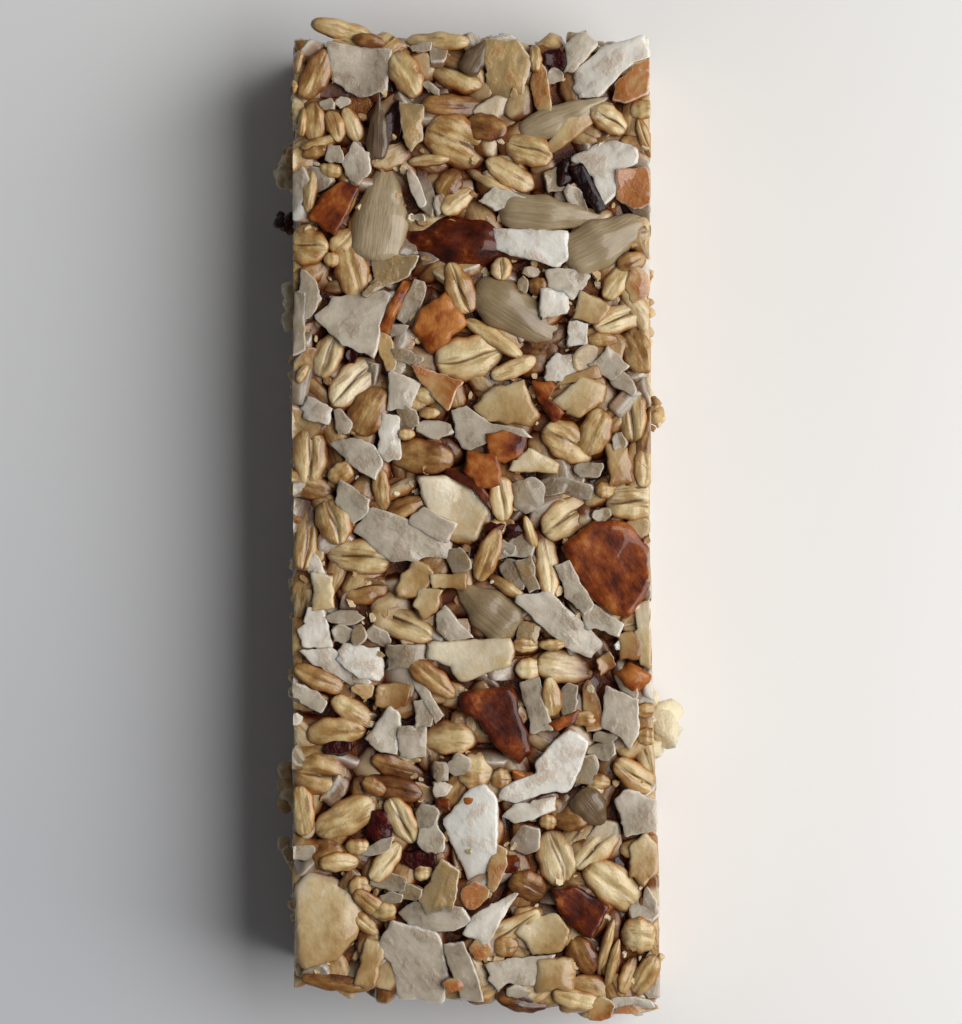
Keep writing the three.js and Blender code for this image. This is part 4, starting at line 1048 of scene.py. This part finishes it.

# ---- Dried fruit --------------------------------------------------------------------------------------
# Small pieces of dark red dried fruit, sticky and sunk between the oats, with painted shade that makes them
# nearly black in the hollows of their folds.
# Each row is x, y, length, width, turn and shade.
FRUIT = [
    (-9.2, -30.8, 2.8, 3.2, 0, .5), (-5.6, -34.1, 4, 1.8, 0, .5), (8.3, 46.2, 2, 2.6, 0, .4),
    (9.3, 34.6, 1.6, 3, 0, .2), (11.7, 33.2, 5.6, 1.7, -62, .1), (4.2, -1.1, 1.8, 1.6, 0, .4),
    (-12.1, 16.3, .9, 1.5, 0, .4), (-13.5, -22.9, 3, 1.4, 0, .3), (-7.8, 40, 1.7, 4.4, 0, .2),
    (2.4, -.9, 2, 1.6, 40, .5),
]
x, y, length, width, turn, shade = np.array(FRUIT).T
fruit = lay_flakes(
    "dried_fruit", shards(length * 1.1, width * 1.1, 101), x, y, turn, shade, np.clip(width * 0.7, 0.8, 2.0),
    16.75 - 0 * x, 0.6, 102, 28, 8, DOMED_ROWS,
)
material, shader, wire = new_material("dried_fruit")
local, tint = read("local", 1), read("tint")
folds = local.noise((1, 1, 1), 1.1, 4.0)
# Painted shade: the same noise that gives the folds their relief darkens their hollows nearly to black.
flesh = (tint + (folds - 0.5)).ramp((0.0, srgb(20, 3, 2)), (0.5, srgb(66, 12, 8)), (1.0, srgb(126, 36, 18)))
dress(
    shader, Base_Color=flesh, Roughness=0.35, Coat_Weight=0.4, Coat_Roughness=0.06,
    Normal=folds.bump(0.0005), Specular_IOR_Level=0.2,
)
finish_piece(fruit, material, "oat_mass")

# ---- Crumbs -------------------------------------------------------------------------------------------
# Clumps of oat and nut that cling low to the long sides, rough and pale, with a few larger bits, and
# fine crumbs all over the bar.
CLUMP_ROWS = [(0.5, 1.0), (0.85, 0.95), (1.0, 0.5), (1.0, -0.5), (0.85, -0.95), (0.5, -1.0)]
# Each row is the middle of a group, x, y and z, and how far it reaches across, along and up.
CLUMPS = [
    (-18.7, 36.6, 5.6, 5.8, 7.4, 5.2), (-19.4, 30.8, 6.5, 2.4, 2.8, 2.2), (-18.3, -28.0, 5.2, 5.4, 8.0, 5.0),
    (-18.4, 22.0, 6.0, 2.6, 6.0, 3.0), (-18.4, -34.5, 5.0, 3.6, 5.0, 3.2), (18.9, -21.3, 5.2, 6.4, 12.5, 5.4),
    (18.5, 10.5, 12.0, 2.0, 4.4, 2.2), (18.9, -45.3, 8.0, 1.6, 1.6, 1.4), (-17.9, 43.0, 9.0, 1.0, 9.0, 13.0),
    (-18.0, 14.0, 9.0, 1.2, 18.0, 13.0), (-18.0, 4.0, 7.5, 1.2, 20.0, 13.0),
    (-18.0, -7.0, 9.0, 1.2, 20.0, 13.0), (-18.0, -16.0, 7.5, 1.2, 18.0, 13.0),
    (-18.0, -38.0, 8.0, 1.2, 16.0, 13.0), (18.0, 22.0, 8.0, 1.2, 30.0, 13.0),
]
EACH = 16
random = np.random.default_rng(110)
x, y, z, across, deep, tall = np.repeat(np.array(CLUMPS), EACH, axis=0).T
count = len(x)
size = random.uniform(0.25, 0.6, count) * (across + np.minimum(deep, 2.5 * across) + np.minimum(tall, 5)) / 3
points, level = slabs(
    shards(size, 0.75 * size, 111, 5), 0.55 * size, 0.1 * size, 0 * size, 0.1 * size,
    CLUMP_ROWS, 14, 112,
)
spin = np.linalg.qr(random.normal(size=(count, 3, 3)))[0]
spin *= np.linalg.det(spin)[:, None, None]
points = points @ spin
shift = points + random.uniform(-90, 90, (count, 1, 3))
reach = random.normal(0, 1, (count, 3))
reach = reach / np.linalg.norm(reach, axis=1, keepdims=True) * random.uniform(0.2, 0.75, (count, 1))
offset = reach * np.stack([across, deep, tall], -1) / 2
points = points + (np.stack([x, y, z], -1) + offset)[:, None, :]
shade = np.repeat([0.2, 1.0, 0.2, 0.15, 0.2, 0.1, 0.4, 0.0] + [0.35] * 7, EACH)
shade = shade + random.uniform(-0.2, 0.3, count)
marks = {"tint": shade[:, None] + 0 * level, "local": shift}
clumps = build("side_crumbs", points, len(CLUMP_ROWS), 14, marks)
random = np.random.default_rng(121)
count, in_gaps = 1250, 700
size = random.uniform(0.5, 1.5, count)
corners = shards(size, size * random.uniform(0.5, 0.9, count), 122, 5)
FINE_ROWS = [(0.85, 1.0), (1.0, 0.0), (0.8, -1.0)]
points, _ = slabs(corners, size * 0.5, 0 * size, 0 * size, 0 * size, FINE_ROWS, 7, 123)
x, z = random.uniform(-17.6, 17.6, count), random.uniform(15.3, 16.1, count)
walls = np.arange(count) >= in_gaps
x[walls] = random.choice([-1, 1], walls.sum()) * random.uniform(17.3, 18.2, walls.sum())
z[walls] = random.uniform(0.6, 15.5, walls.sum())
y = random.uniform(-46.5, 47.5, count)
points, cut, local = set_in(
    points, x, y, random.uniform(0, 360, count),
    random.uniform(-30, 30, (count, 2)), middle=z, seed=124,
)
marks = {"tint": random.uniform(0, 0.7, count)[:, None] + 0 * cut, "local": local}
fine_crumbs = build("fine_crumbs", points, len(FINE_ROWS), 7, marks, smooth=False)
material, shader, wire = new_material("crumb")
local, tint = read("local", 1), read("tint")
grit = local.noise((1, 1, 1), 1.4, 5.0, 0.7)
crumb = (tint + 0.3 * (grit - 0.5)).ramp(
    (0.0, srgb(250, 236, 200)), (0.4, srgb(224, 190, 136)), (0.8, srgb(150, 90, 40)), (1.0, srgb(60, 32, 16)),
)
dress(
    shader, Base_Color=crumb, Roughness=0.55, Coat_Weight=0.15, Coat_Roughness=0.3, Normal=grit.bump(0.0003)
)
crumb_nodes = [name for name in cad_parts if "flank_crumb" in name]
finish_piece(clumps, material, "crumb", *crumb_nodes)
finish_piece(fine_crumbs, material, "crumb")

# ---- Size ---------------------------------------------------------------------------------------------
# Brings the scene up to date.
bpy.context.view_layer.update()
